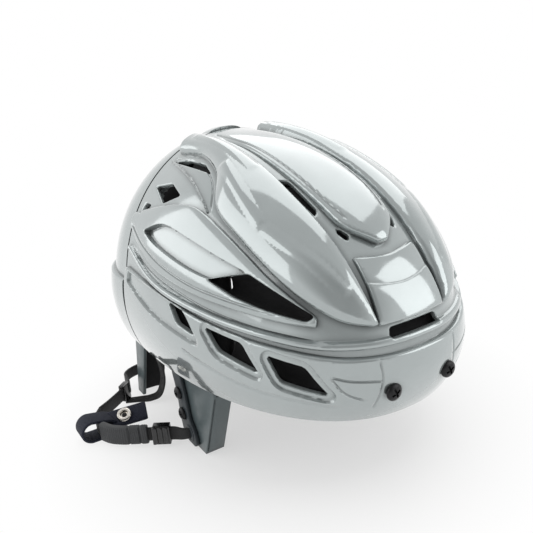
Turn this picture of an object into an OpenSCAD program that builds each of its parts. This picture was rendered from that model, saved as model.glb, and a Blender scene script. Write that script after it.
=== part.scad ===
// Ice hockey helmet with a vented two-piece shell, foam liners, ear guards,
// a rear fit dial and a chin strap.
// Front is -Y, the wearer's right is -X, up is +Z, and Z = 0 is the rim of the shell.
// It stands on the feet of the ear guards and nape guards at Z = -stand_height.

/* [Shell shape] */
// Half of the greatest width of the shell
half_width = 100.5; // [88:0.5:112]
// Length from the middle of the head to the front and to the rear
half_length = 138; // [124:1:150]
// Height of the crown above the rim
crown_height = 144; // [130:1:156]
// Height of the widest level above the rim
wide_level = 33; // [26:1:40]
// Wall of both shells
wall = 3; // [2.4:0.1:3.6]
// Height of the raised panels above the valleys between them
relief = 4; // [3:0.25:5]
// Squareness of the outline seen from above
plan_power = 2.25; // [2.1:0.05:2.5]
// How much narrower the rim is than the widest level
rim_taper = 0.06; // [0.03:0.01:0.09]

/* [Fit] */
// Gap between the two shells where they overlap
shell_gap = 0.6; // [0.5:0.05:0.8]
// Gap between a liner and the shell behind it
liner_gap = 0.3; // [0.2:0.05:0.4]
// Thickness of the foam liners
foam = 12; // [9:0.5:13]
// Height of the rim above the ground
stand_height = 60; // [56:1:66]

/* [Ear guards] */
// How far the ear guard's outer face stands in from the greatest half width
guard_inset = 17.5; // [16.5:0.5:19]
// Thickness of the ear guard panel
guard_wall = 2.5; // [2:0.1:3]
// Depth of the ear guard's front flange
flange_depth = 14; // [11:0.5:16]

/* [Screws] */
// Radius of the brow screw heads
brow_head_r = 5; // [4.4:0.1:5.6]
// Radius of the screw shanks
shank_r = 2; // [1.6:0.1:2.2]
// Radius of the small screw heads
small_head_r = 3.8; // [3.4:0.1:4]

/* [Dial] */
// Radius of the fit dial
dial_r = 16; // [14:0.5:18]
// Height of the fit dial
dial_h = 7; // [6:0.5:9]

/* [Chin strap] */
// Width of the webbing
strap_w = 10.5; // [9:0.5:11.5]
// Thickness of the webbing
strap_t = 2; // [1.6:0.1:2.2]

/* [Hidden] */
// The outline is straight between these two lengths, so that the rear shell can slide.
front_centre = 45;
rear_centre = 68;
// The two shells part on a plane that leans back by this much for each unit of height.
split_y = 50;
split_lean = 0.13;
front_reach = half_length + front_centre;
rear_reach = half_length - rear_centre;
rise = crown_height - wide_level;
// Facets of the shells: steps round the front, steps round the rear, and levels.
front_steps = 26;
rear_steps = 14;
level_steps = 10;
// Front steps that the side liners cover.
side_steps = 5;
// Depths of the surfaces below the raised panels.
valley = -relief;
front_inside = valley - wall;
rear_outside = front_inside - shell_gap;
rear_inside = rear_outside - wall;
front_liner_out = front_inside - liner_gap;
front_liner_in = front_liner_out - foam;
rear_liner_out = rear_inside - liner_gap;
rear_liner_in = rear_liner_out - foam * 0.8;

// Places of the fastenings and of the plates that hang below the rim.
guard_x = half_width - guard_inset;
brow_x = half_width / 5;
brow_z = 21;
brow_seat = -half_length + 3;
brow_boss_r = brow_head_r + 1.4;
boss_lengths = [-20, 8];
boss_z = 10;
thread_r = 1.5;
anchor_wall = 3;
slot_y = 2;
slot_z = -stand_height + strap_w / 2 + 4.2;
slot_r = 4.4;
anchor_points = [[12, -23], [9, slot_z + 12.5]];
nape_x = half_width - 18.2;
nape_y = rear_centre + 13.5;
nape_screw_heights = [8, 17];
post_lean = 4.8;
below_floor = -stand_height - 10;
over_crown = crown_height + 20;
behind_all = half_length + 60;
dial_z = 27;
dial_seat = half_length + 0.4;
housing_r = 19;
stem_r = 6;
post_r = 4;
dial_top = 3.3 + dial_h + 0.4;
strap_start = [-guard_x - 7, 6];
strap_angle = 146;
strap_run = 42;
buckle_s = 14;
pad_start = 24;
pad_height = strap_w + 3;
// Bend of the strap at the chin, as [distance out from the guard, y].
chin_bend = [[48, 36], [51.5, 44], [52, 52], [50, 60], [45, 67]];
small_buckle_at = [-guard_x - 18.5, 86];
small_buckle_angle = 39.6;
tail_t = 1.6;
tail_z = slot_z - (strap_w + 3) / 2 - tail_t / 2;
// The left strap's run through the helmet, as [share of guard_x, y, height over the slot, width].
cavity_run = [[-0.89, 111.2, 2.5, 9], [-0.72, 109.4, 6.5, 9], [-0.55, 94, 18.5, 9],
    [-0.41, 68, 30.5, 10], [-0.17, 42, 34.5, 10], [0.17, 22, 32.5, 10], [0.5, 10, 20.5, 10],
    [0.75, 5, 8.5, 9]];
// The strap tail's run, as [distance in from the guard, height over the slot, -y, width].
tail_run = [[-19, 0, -85, 7], [-9, 0, -80, 7.5], [-2, 1, -75, 8], [4, 4.1, -72, 8], [7.5, 14.1, -70, 8],
    [7.5, 25.1, -68.5, 8], [5, 36.1, -66.5, 8], [2.5, 45.1, -63, 8], [1, 54.1, -60, 8]];
// The snap loop's fold, seen along the helmet from the strap's height at the guard.
loop_fold = [-57.5, -0.75];
loop_y = 46.5;
loop_w = 15;

shell_grey = [0.47, 0.5, 0.51];
guard_grey = [0.42, 0.46, 0.48];
anchor_grey = [0.2, 0.23, 0.25];
foam_black = [0.06, 0.06, 0.065];
screw_black = [0.08, 0.08, 0.09];
steel = [0.7, 0.7, 0.72];
strap_black = [0.09, 0.09, 0.1];
navy = [0.08, 0.09, 0.16];

function power_sum(a, b) = pow(pow(abs(a), plan_power) + pow(abs(b), plan_power), 1 / plan_power);
// A point of the shell's surface: u degrees round the plan (270 is the front), t from -1 at the
// rim through 0 at the widest level to 1 at the crown, and depth outward from the raised panels.
function ring_point(u, t, depth, back) =
    let (s = t < 0 ? 1 - rim_taper * t * t : cos(90 * t))
    let (r = s / power_sum(cos(u), sin(u)))
    [(half_width + depth) * r * cos(u),
     back ? rear_centre + (rear_reach + depth) * r * sin(u)
        : front_centre + (front_reach + depth) * r * sin(u),
     t < 0 ? wide_level * (1 + t) : wide_level + (rise + depth) * sin(90 * t)];
function length_part(y) = y < front_centre ? (y - front_centre) / front_reach
    : y > rear_centre ? (y - rear_centre) / rear_reach : 0;
// The nearest point of the shell's surface to a guide point, seen from the middle of the head.
function on_shell(g, depth) =
    let (p = g[0] / half_width, q = length_part(g[1]), h = (g[2] - wide_level) / rise)
    let (flat = power_sum(p, q), drop = (wide_level - g[2]) / wide_level)
    let (k = h > 0 ? 1 / norm([flat, h]) : (1 - rim_taper * drop * drop) / flat)
    [(half_width + depth) * k * p,
     q < 0 ? front_centre + (front_reach + depth) * k * q
        : q > 0 ? rear_centre + (rear_reach + depth) * k * q : g[1],
     h > 0 ? wide_level + (rise + depth) * k * h : g[2]];
// A smooth curve through a list of points, at part f from 0 to 1.
function smooth_at(list, f) =
    let (n = len(list) - 1, i = min(floor(f * n), n - 1), w = f * n - i)
    let (b = list[i], c = list[i + 1])
    let (a = i > 0 ? list[i - 1] : 2 * b - c, d = i < n - 1 ? list[i + 2] : 2 * c - b)
    b + 0.5 * w * (c - a + w * (2 * a - 5 * b + 4 * c - d + w * (3 * (b - c) + d - a)));
function quad(a, b, c, d) = [[a, b, c], [a, c, d]];

// A closed solid between two grids of points with the same rows and columns.
module block(top, base) {
    rows = len(top);
    cols = len(top[0]);
    n = rows * cols;
    points = concat([for (r = top) each r], [for (r = base) each r]);
    skins = [for (i = [0 : rows - 2]) for (j = [0 : cols - 2])
        let (a = i * cols + j, b = a + 1, c = a + cols + 1, d = a + cols)
        each concat(quad(a, d, c, b), quad(a + n, b + n, c + n, d + n))];
    ends = [for (j = [0 : cols - 2])
        let (a = j, b = (rows - 1) * cols + j)
        each concat(quad(a, a + 1, a + 1 + n, a + n), quad(b + 1, b, b + n, b + 1 + n))];
    sides = [for (i = [0 : rows - 2])
        let (a = i * cols, b = a + cols - 1)
        each concat(quad(a + cols, a, a + n, a + cols + n), quad(b, b + cols, b + cols + n, b + n))];
    polyhedron(points, concat(skins, ends, sides), convexity = 6);
}

// A raised panel between two edge lines: its top swells from edge_depth to mid_depth, comes down
// over the last part of its length, taper, and is lower by sink at its start.
function panel_grid(low, high, rows, cols, mid_depth, edge_depth, taper, sink) =
    [for (i = [0 : rows])
        let (f = i / rows, a = smooth_at(low, f), b = smooth_at(high, f))
        let (e = taper > 0 ? min(1, (1 - f) / taper) : 1)
        [for (j = [0 : cols])
            let (w = j / cols, v = abs(2 * w - 1))
            let (d = edge_depth + (mid_depth - edge_depth) * (1 - pow(v, 3)) * sqrt(e))
            on_shell(a + (b - a) * w, d - sink * pow(1 - f, 2))]];
module panel(low, high, rows, cols, mid_depth, edge_depth, taper = 0, sink = 0) {
    block(panel_grid(low, high, rows, cols, mid_depth, edge_depth, taper, sink),
        panel_grid(low, high, rows, cols, valley - wall * 0.85, valley - wall * 0.85, 0, 0));
}
// Cuts a recess down to the given depth between two lines.
module recess(high, low, rows, depth) {
    block(panel_grid(high, low, rows, 3, 12, 12, 0, 0), panel_grid(high, low, rows, 3, depth, depth, 0, 0));
}
// A raised band of even width along a line.
module rib(line, width, rows, mid_depth) {
    panel([for (p = line) p + [0, 0, width / 2]], [for (p = line) p - [0, 0, width / 2]],
        rows, 3, mid_depth, valley - 0.4, 0);
}
// A plug that cuts an opening with the given outline through the shell.
module plug(outline, inner, outer) {
    hull()
        polyhedron(concat([for (g = outline) on_shell(g, inner)], [for (g = outline) on_shell(g, outer)]),
            concat([[for (i = [0 : len(outline) - 1]) i]],
                [[for (i = [len(outline) - 1 : -1 : 0]) i + len(outline)]],
                [for (i = [0 : len(outline) - 1]) let (k = (i + 1) % len(outline))
                    each quad(i, i + len(outline), k + len(outline), k)]));
}
// The same outline, larger by a border all round.
function grown(outline, by) =
    let (c = total(outline) / len(outline))
    [for (g = outline) g + by * (g - c) / norm(g - c)];
function total(list, i = 0) = i == len(list) - 1 ? list[i] : list[i] + total(list, i + 1);
module both_sides() {
    children();
    mirror([1, 0, 0]) children();
}

// Guide lines of the raised panels on the right side, as [x, y, z] near the surface.
lobe_high = [[-24, 63, 143], [-24, 29, 144], [-26, -8, 140], [-27, -34, 133], [-28, -60, 123],
    [-27, -84, 110], [-26, -101, 98], [-25, -118, 79], [-23, -130, 60]];
lobe_low = [[-45, 61, 137], [-42.5, 29, 138], [-49, -3, 130], [-62, -25, 113], [-63, -55, 99],
    [-59.5, -83, 84], [-53, -103, 73], [-41, -119, 63], [-26, -130, 59]];
ridge_edge = [[-16, 60, 143], [-19, 30, 143], [-20, 0, 140], [-21, -30, 132], [-21, -55, 124],
    [-20, -75, 115], [-17, -92, 105], [-4, -106, 96]];
scoop_line = [[-52, 61, 133], [-58, 20, 126], [-64, -6, 119], [-68, -22, 112]];
leaf_top = [[-83, 60, 98], [-77, 38, 104], [-71, 13, 110], [-67, -8, 111], [-67, -30, 107],
    [-65, -60, 95], [-61, -84, 82], [-50, -110, 65]];
leaf_low = [[-87, 60, 88], [-91, 40, 79], [-94, 13, 71], [-91, -19, 67], [-85, -47, 65],
    [-74, -79, 63], [-62, -99, 61], [-52, -111, 60]];
leaf_recess_high = [[-86, 34, 90.5], [-82, 19, 97], [-80, 5, 98], [-78, -19, 95], [-74, -45, 90],
    [-68, -70, 84.5]];
leaf_recess_low = [[-87, 33, 89], [-88.5, 20, 86], [-88, 3, 83], [-86.5, -17, 80], [-84, -33, 78],
    [-81.5, -45, 77]];
rear_band = [[-100, 48, 51.5], [-99, 71, 51.5], [-93, 92, 51.5], [-80, 112, 51.5], [-56, 129, 51.5],
    [-28, 137, 51.5], [0, 138, 51.5]];
rear_ridge = [[-14, 66, 142], [-13, 84, 134], [-12, 100, 121], [-10, 114, 104], [-8, 122, 90]];
middle_line = [[-94, 56, 76], [-97, 9, 62], [-90, -47, 57], [-75, -90, 54], [-56, -116, 51],
    [-30, -131, 50], [0, -134, 50]];
band_high = [[-97, 55, 62], [-97, 20, 60], [-95, -11, 57], [-89, -46, 53], [-80, -77, 50],
    [-65, -104, 47], [-46, -123, 44], [-24, -134, 43], [0, -138, 43]];
brow_low = [[-24, -131, 59], [-12, -132, 59], [0, -133, 59]];
brow_high = [[-22, -118, 81], [-11, -122, 79], [0, -123, 78]];
crown_high = [[-22, -108, 93], [-11, -111, 92], [0, -112, 91]];

// Outlines of the vents on the right side.
wedge_vent = [[-82, -44, 77], [-76, -58, 81], [-68, -70, 84], [-60, -92, 75], [-51, -109, 66],
    [-55, -107, 63], [-69, -88, 67], [-77, -66, 71]];
side_vents = [
    [[-95, -10, 55], [-93, -28, 53], [-92, -38, 40], [-96, -20, 43]],
    [[-89, -47, 49], [-80, -75, 46], [-76, -86, 29], [-87, -58, 36]],
    [[-73, -90, 42], [-60, -109, 38], [-50, -118, 20], [-69, -97, 26]]];
// The first side vent lies at the end of a long recess, and the other two have sunk frames.
side_recess_high = [[-97, 49, 60], [-97, 20, 59], [-95, -10, 56.5], [-93, -28, 54], [-91.5, -42, 40]];
side_recess_low = [[-98, 49, 52], [-99, 12, 41.5], [-96, -20, 37], [-93.5, -34, 35.5],
    [-92, -42, 35]];
channel_vent = [[-26, -42, 127], [-22.5, -44, 127], [-22.5, -75, 114.5], [-25.5, -79, 112.5]];
tip_vent = [[-19, -90, 106], [-15, -97, 102], [-18, -100, 100], [-21, -94, 104]];
scoop_vent = [[-52, 56, 132], [-47, 43, 135], [-46, 20, 135], [-50, 5, 132], [-51, 28, 132]];
high_vents = [
    [[-68, 55, 115], [-63, 37, 119], [-67, 18, 115], [-74, 33, 108]],
    [[-77, 56, 105], [-77, 47, 105], [-82, 50, 98], [-82, 56, 98]]];
front_vent = [[-18, -133, 51], [-17, -133, 57], [17, -133, 57], [18, -133, 51]];
rear_vents = [
    [[-60, 98, 96], [-46, 110, 96], [-50, 112, 84], [-66, 100, 84]],
    [[-34, 114, 100], [-16, 120, 100], [-17, 124, 88], [-38, 118, 88]],
    [[-72, 100, 70], [-58, 114, 70], [-60, 116, 60], [-74, 102, 60]],
    [[-44, 124, 74], [-24, 131, 74], [-24, 133, 64], [-46, 126, 64]]];

module front_vent_plugs(inner, outer) {
    both_sides() {
        plug(wedge_vent, inner, outer);
        for (v = side_vents) plug(v, inner, outer);
        plug(channel_vent, inner, outer);
        plug(tip_vent, inner, outer);
        plug(scoop_vent, inner, outer);
        for (v = high_vents) plug(v, inner, outer);
    }
    plug(front_vent, inner, outer);
}
module rear_vent_plugs(inner, outer) {
    both_sides()
        for (v = concat(rear_vents, high_vents)) plug(v, inner, outer);
}

// The levels of the shell's facets: four below the widest level and the rest above it.
function level(i) = i < 4 ? -1 + i / 4 : (i - 4) * 0.97 / (level_steps - 4);
// The whole dome of one shell, closed at the rim, whose level is -1 or a little higher.
module dome(outer, inner, rim = -1) {
    plan = concat([for (i = [0 : front_steps]) [180 + 180 * i / front_steps, false]],
        [for (i = [0 : rear_steps]) [180 * i / rear_steps, true]]);
    n = len(plan);
    middle_y = (front_centre + rear_centre) / 2;
    points = concat(
        [for (i = [0 : level_steps]) for (p = plan) ring_point(p[0], max(level(i), rim), outer, p[1])],
        [for (i = [0 : level_steps]) for (p = plan) ring_point(p[0], max(level(i), rim), inner, p[1])],
        [[0, middle_y, crown_height + outer], [0, middle_y, crown_height + inner]]);
    m = n * (level_steps + 1);
    faces = concat(
        [for (i = [0 : level_steps - 1]) for (j = [0 : n - 1])
            let (k = (j + 1) % n, a = i * n + j, b = i * n + k, c = b + n, d = a + n)
            each concat(quad(a, d, c, b), quad(a + m, b + m, c + m, d + m))],
        [for (j = [0 : n - 1])
            let (k = (j + 1) % n, a = level_steps * n + j, b = level_steps * n + k)
            each [[b, a, 2 * m], [a + m, b + m, 2 * m + 1]]],
        [for (j = [0 : n - 1])
            let (k = (j + 1) % n)
            each quad(j, k, k + m, j + m)]);
    polyhedron(points, faces, convexity = 6);
}
// Everything behind the plane on which a shell is split, moved by shift along the helmet.
module behind(shift) {
    rotate([90, 0, 90])
        linear_extrude(400, center = true)
            polygon([[split_y + shift, below_floor], [split_y + shift, 0],
                [split_y + split_lean * over_crown + shift, over_crown],
                [behind_all, over_crown], [behind_all, below_floor]]);
}

// Front shell with its raised panels, ribs, vents and bosses.
module front_shell() {
    color(shell_grey)
        difference() {
            union() {
                dome(valley, front_inside);
                both_sides() {
                    panel(lobe_high, lobe_low, 14, 6, 3.5, -1, 0.2);
                    panel(band_high, [for (p = band_high) [p[0], p[1], 1]], 16, 3, 0, -1);
                    panel(brow_high, brow_low, 2, 3, -0.5, -1);
                    panel(crown_high, brow_high, 2, 3, -1.5, -2);
                    rib(scoop_line, 4, 4, -1.5);
                    panel(leaf_top, leaf_low, 12, 5, 0, -1.2);
                    rib(middle_line, 6, 11, -1);
                    for (y = boss_lengths)
                        translate([-guard_x, y, boss_z])
                            rotate([0, -90, 0])
                                cylinder(h = 8, r = 5, $fn = 20);
                    translate([brow_x, brow_seat + 10, brow_z])
                        rotate([90, 0, 0])
                            cylinder(h = 10, r = brow_boss_r, $fn = 24);
                }
                panel([for (p = ridge_edge) [-p[0], p[1], p[2]]], ridge_edge, 12, 5, 2, 0, 0.06, 5);
            }
            behind(0);
            front_vent_plugs(front_inside - 3, 12);
            both_sides() {
                for (v = [grown(side_vents[1], 5), grown(side_vents[2], 5)])
                    plug(v, -1.8, 12);
                recess(side_recess_high, side_recess_low, 8, -2.2);
                recess(leaf_recess_high, leaf_recess_low, 8, valley + 0.4);
                translate([brow_x, brow_seat + 20, brow_z])
                    rotate([90, 0, 0])
                        cylinder(h = 30, r = shank_r + 0.3, $fn = 20);
                for (y = boss_lengths)
                    translate([-guard_x + 1, y, boss_z])
                        rotate([0, -90, 0])
                            cylinder(h = 6.5, r = thread_r + 0.15, $fn = 16);
            }
        }
}

// Rear shell, which slides out from under the front shell.
module rear_shell() {
    color(shell_grey)
        difference() {
            union() {
                both_sides()
                    for (z = nape_screw_heights)
                        on_side(nape_x, nape_y, z) cylinder(h = 6, r = 4, $fn = 20);
                intersection() {
                    dome(rear_outside, rear_inside, -0.95);
                    behind(-15);
                }
                intersection() {
                    union() {
                        dome(valley, rear_outside - wall / 2);
                        both_sides()
                            panel([for (p = rear_band) [p[0], p[1], 1]], rear_band, 9, 3, 0, -1);
                        panel(rear_ridge, [for (p = rear_ridge) [-p[0], p[1], p[2]]], 7, 4, -1, -3, 0.06, 1);
                    }
                    behind(1.5);
                }
                translate([0, dial_seat - 8, dial_z])
                    rotate([-90, 0, 0])
                        cylinder(h = 8, r = housing_r + 1.5, $fn = 40);
            }
            rear_vent_plugs(rear_inside - 3, 12);
            translate([0, dial_seat - 20, dial_z])
                rotate([-90, 0, 0])
                    cylinder(h = 30, r = stem_r + 0.3, $fn = 24);
            both_sides()
                for (z = nape_screw_heights)
                    translate([-nape_x + 1, nape_y, z])
                        rotate([0, -90, 0])
                            cylinder(h = 4, r = thread_r + 0.15, $fn = 16);
        }
}

// A curved block of foam that lines the facets of a shell, between two of its plan steps and two of
// its levels, on the front or the rear half.
module foam_block(first, last, low, high, outer, inner, back) {
    steps = back ? rear_steps : front_steps;
    start = back ? 0 : 180;
    cols = [for (j = [first : last])
        start + 180 * j / steps + (j == first ? 0.25 : j == last ? -0.25 : 0)];
    rows = [for (i = [low : high]) level(i) + (i == low ? 0.005 : i == high ? -0.005 : 0)];
    color(foam_black)
        difference() {
            block([for (t = rows) [for (u = cols) ring_point(u, t, outer, back)]],
                [for (t = rows) [for (u = cols) ring_point(u, t, inner, back)]]);
            if (back) rear_vent_plugs(outer - 6, 12);
            else front_vent_plugs(outer - 6, 12);
            at_brow()
                translate([0, 0, -16]) cylinder(h = 16, r = brow_boss_r + liner_gap + 0.1, $fn = 24);
        }
}
module forehead_liner() {
    foam_block(side_steps, front_steps - side_steps, 1, 8, front_liner_out, front_liner_in, false);
}
module side_liner_right() {
    foam_block(1, side_steps, 3, 8, front_liner_out, front_liner_in, false);
}
module side_liner_left() {
    mirror([1, 0, 0]) side_liner_right();
}
module crown_liner() {
    foam_block(0, front_steps, 8, 10, front_liner_out, front_liner_in, false);
}
module rear_liner() {
    foam_block(2, rear_steps - 2, 4, 8, rear_liner_out, rear_liner_in, true);
}
module occipital_pad() {
    foam_block(3, rear_steps - 3, 1, 4, rear_liner_out, rear_liner_out - 7, true);
}

// A screw along +Z with a domed head above z = 0 and a cross recess.
module screw(head_r, head_h, shank, length) {
    difference() {
        union() {
            rotate_extrude($fn = 28)
                polygon(concat([[0, 0]], [for (a = [0 : 22.5 : 67.5])
                    [head_r * cos(a), head_h * (0.3 + 0.7 * sin(a))]], [[0, head_h]]));
            translate([0, 0, -length]) cylinder(h = length + 0.5, r = shank, $fn = 16);
        }
        translate([0, 0, head_h])
            for (a = [0, 90])
                rotate([0, 0, a]) cube([head_r * 1.1, head_r * 0.24, head_h * 1.1], center = true);
    }
}
module at_brow() {
    for (s = [-1, 1])
        translate([s * brow_x, brow_seat, brow_z])
            rotate([90, 0, 0]) children();
}
module brow_screws() {
    color(screw_black) at_brow() screw(brow_head_r, 2.4, shank_r, 13);
}
module brow_nuts() {
    color(steel)
        at_brow()
            difference() {
                translate([0, 0, -13]) cylinder(h = 2.4, r = 5.5, $fn = 32);
                translate([0, 0, -14]) cylinder(h = 8, r = shank_r, $fn = 24);
            }
}

// A plate standing along the helmet, drawn as [length, height] points, whose outer face is at -x.
module side_plate(x, thickness) {
    translate([-x, 0, 0])
        rotate([90, 0, 90])
            linear_extrude(thickness) children();
}
// Puts a child that points along +Z on the outer face at -x, facing away from the head.
module on_side(x, y, z) {
    translate([-x, y, z]) rotate([0, -90, 0]) children();
}
module ear_guard_right() {
    color(guard_grey)
        difference() {
            union() {
                side_plate(guard_x, guard_wall)
                    polygon([[-22, 17], [14, 18], [13, -4], [11, -stand_height], [-15, -stand_height],
                        [-38, -5], [-38, -1], [-22, -0.5]]);
                side_plate(guard_x, flange_depth)
                    polygon([[-38, -5], [-15, -stand_height], [-12.4, -stand_height], [-35.4, -5]]);
            }
            on_side(guard_x - 5, slot_y, slot_z) cylinder(h = 10, r = slot_r + 0.6, $fn = 32);
            for (y = boss_lengths)
                on_side(guard_x - 5, y, boss_z) cylinder(h = 10, r = 1.8, $fn = 20);
            for (p = anchor_points)
                on_side(guard_x - 5, p[0], p[1]) cylinder(h = 10, r = 1.8, $fn = 20);
        }
}
module ear_guard_left() {
    mirror([1, 0, 0]) ear_guard_right();
}
module ear_guard_screws() {
    color(screw_black)
        both_sides()
            for (y = boss_lengths)
                translate([-guard_x + guard_wall, y, boss_z])
                    rotate([0, 90, 0]) screw(small_head_r, 2, thread_r, 7.5);
}
module strap_anchor_right() {
    color(anchor_grey)
        difference() {
            side_plate(guard_x + anchor_wall, anchor_wall)
                polygon(concat([[9, -2], [14, -1], [20, -4], [21, -10], [18, -18], [16, -30]],
                    [for (p = [[15, 6.5], [12, -4.5], [6, -8], [-5, -8], [-8, -4.5], [-6, 3.5], [1, 12.5]])
                        [p[0], slot_z + p[1]]],
                    [[3, -26], [6, -14]]));
            on_side(guard_x - 1, slot_y, slot_z) cylinder(h = 10, r = slot_r, $fn = 32);
            for (p = anchor_points)
                on_side(guard_x - 1, p[0], p[1]) cylinder(h = 10, r = 1.8, $fn = 20);
        }
}
module strap_anchor_left() {
    mirror([1, 0, 0]) strap_anchor_right();
}
module anchor_screws() {
    color(screw_black)
        both_sides()
            for (p = anchor_points)
                on_side(guard_x + anchor_wall, p[0], p[1]) screw(small_head_r, 2.2, thread_r, 8);
}

// Rear post of each side: a tab inside the shell, then an outer strip with an inward flange that
// leans outward by post_lean degrees.
module leaning() {
    difference() {
        translate([-nape_x, 0, -3])
            rotate([0, post_lean, 0])
                translate([nape_x, 0, 3]) children();
        translate([-nape_x - 30, nape_y - 20, below_floor - 10])
            cube([90, 60, -stand_height - below_floor + 10]);
    }
}
module at_nape() {
    translate([0, nape_y, 0]) children();
}
module nape_guard_right() {
    color(guard_grey) {
        difference() {
            at_nape() side_plate(nape_x, 2.5) polygon([[-4.5, 21], [3, 21], [3, -5], [-4.5, -5]]);
            for (z = nape_screw_heights)
                on_side(nape_x - 5, nape_y, z) cylinder(h = 10, r = 1.8, $fn = 20);
        }
        leaning()
            at_nape() {
                side_plate(nape_x, 2.5)
                    polygon([[-4.5, -3], [3, -3], [15, -8], [16, below_floor], [5.5, below_floor]]);
                side_plate(nape_x, 22)
                    polygon([[12.5, -8], [15, -8], [16, below_floor], [13.5, below_floor]]);
            }
    }
}
module nape_guard_left() {
    mirror([1, 0, 0]) nape_guard_right();
}
module nape_pad_right() {
    color(foam_black)
        leaning()
            at_nape()
                side_plate(nape_x - 2.8, 18)
                    polygon([[7, -11], [12.3, -11], [13.2, 3 - stand_height], [8, 3 - stand_height]]);
}
module nape_pad_left() {
    mirror([1, 0, 0]) nape_pad_right();
}
module nape_screws() {
    color(screw_black)
        both_sides()
            for (z = nape_screw_heights)
                translate([-nape_x + 2.5, nape_y, z])
                    rotate([0, 90, 0]) screw(small_head_r - 0.4, 1.8, thread_r, 5);
}

// Fit dial at the back of the rear shell.
module at_dial(y) {
    translate([0, y, dial_z]) rotate([-90, 0, 0]) children();
}
module dial_housing() {
    color(anchor_grey)
        at_dial(dial_seat) {
            cylinder(h = 3, r = housing_r, $fn = 48);
            translate([0, 0, -11]) cylinder(h = 11, r = stem_r, $fn = 32);
            difference() {
                cylinder(h = dial_top, r = post_r, $fn = 32);
                translate([0, 0, 3]) cylinder(h = dial_top, r = thread_r, $fn = 24);
            }
        }
}
module fit_dial() {
    color(screw_black)
        at_dial(dial_seat + 3.3)
            difference() {
                union() {
                    cylinder(h = dial_h - 1, r = dial_r, $fn = 48);
                    cylinder(h = dial_h, r = dial_r - 1.5, $fn = 48);
                }
                translate([0, 0, -1]) cylinder(h = dial_h + 2, r = post_r + 0.2, $fn = 32);
                for (a = [0 : 20 : 340])
                    rotate([0, 0, a])
                        translate([dial_r + 1, 0, -1]) cylinder(h = dial_h + 2, r = 2, $fn = 14);
            }
}
module dial_screw() {
    color(screw_black) at_dial(dial_seat + dial_top) screw(5, 2, thread_r, 5);
}

// A strip of webbing through a list of [x, y, z, width] stations, standing on edge.
module ribbon(stations, thickness) {
    n = len(stations) - 1;
    function flat(i) = [stations[i][0], stations[i][1]];
    function side(i) =
        let (d = flat(min(i + 1, n)) - flat(max(i - 1, 0)))
        [d[1], -d[0]] / norm(d) * thickness / 2;
    grids = [for (s = [1, -1])
        [for (i = [0 : n]) [for (w = [-1, 1])
            [stations[i][0] + s * side(i)[0], stations[i][1] + s * side(i)[1],
                stations[i][2] + w * stations[i][3] / 2]]]];
    block(grids[1], grids[0]);
}
// Places a child whose X axis runs along the straight part of the right strap.
module along_strap(s) {
    translate([strap_start[0] + s * cos(strap_angle), strap_start[1] + s * sin(strap_angle), slot_z])
        rotate([0, 0, strap_angle]) children();
}
function station(p) = [p[0], p[1], slot_z, strap_w];
function outward(p) = station([-guard_x - p[0], p[1]]);
function strap_at(s) = station(strap_start + s * [cos(strap_angle), sin(strap_angle)]);
function small_buckle_end(s) =
    station(small_buckle_at + s * [cos(small_buckle_angle), sin(small_buckle_angle)]);
// The end of the webbing, rounded where it passes through the anchor, with a stop inside.
module strap_end() {
    on_side(guard_x - guard_wall - 3.3, slot_y, slot_z) {
        cylinder(h = anchor_wall + guard_wall + 5, r = slot_r - 0.06, $fn = 32);
        cylinder(h = 3, r = slot_r + 1.6, $fn = 32);
    }
}
module chin_strap_right() {
    color(strap_black) {
        strap_end();
        ribbon(concat([[-guard_x - 4, slot_y, slot_z, 8], [-guard_x - 7, slot_y + 1, slot_z, 9]],
            [for (t = [4, 20, strap_run]) strap_at(t)], [for (p = chin_bend) outward(p)]), strap_t);
    }
}
module chin_strap_left() {
    color(strap_black) {
        ribbon(concat([outward([44.8, 67.2]), outward([35, 73.5]), small_buckle_end(-7),
            small_buckle_end(6)],
            [for (p = [[11.6, 98], [10.4, 105], [4, 110.2]]) [-guard_x - p[0], p[1], slot_z + 1, 9]],
            [for (p = cavity_run) [guard_x * p[0], p[1], slot_z + p[2], p[3]]],
            [[guard_x - 8, slot_y + 1, slot_z, 8], [guard_x - 3, slot_y, slot_z, 8]]), strap_t);
        mirror([1, 0, 0]) strap_end();
    }
}
// Spare webbing below the small buckle, which curls up into the helmet beside the nape guard.
module strap_tail() {
    color(strap_black)
        translate([-guard_x, 0, tail_z])
            rotate([90, 0, 0])
                ribbon(tail_run, tail_t);
}
// A block on the strap with a passage for the webbing.
module strap_block(length, thickness, height) {
    difference() {
        cube([length, thickness, height], center = true);
        cube([length + 1, strap_t + 0.6, strap_w + 0.6], center = true);
    }
}
module slide_buckle() {
    color(screw_black)
        along_strap(buckle_s) {
            strap_block(12, 6, strap_w + 4);
            for (x = [-3.6, 0, 3.6])
                translate([x, 3.4, 0]) cube([1.6, 1.4, strap_w + 2], center = true);
        }
}
module chin_pad() {
    run = [strap_at(pad_start), strap_at(strap_run), outward(chin_bend[0]), outward(chin_bend[1])];
    color(anchor_grey)
        difference() {
            ribbon([for (p = run) [p[0], p[1], p[2], pad_height]], 6.4);
            ribbon([for (p = concat([strap_at(4)], run, [outward(chin_bend[2])]))
                [p[0], p[1], p[2], strap_w + 0.6]], strap_t + 0.6);
            for (t = [pad_start + 5, pad_start + 13])
                along_strap(t)
                    for (y = [-3.4, 3.4])
                        translate([0, y, 0]) cube([1.2, 1, 20], center = true);
        }
}
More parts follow.
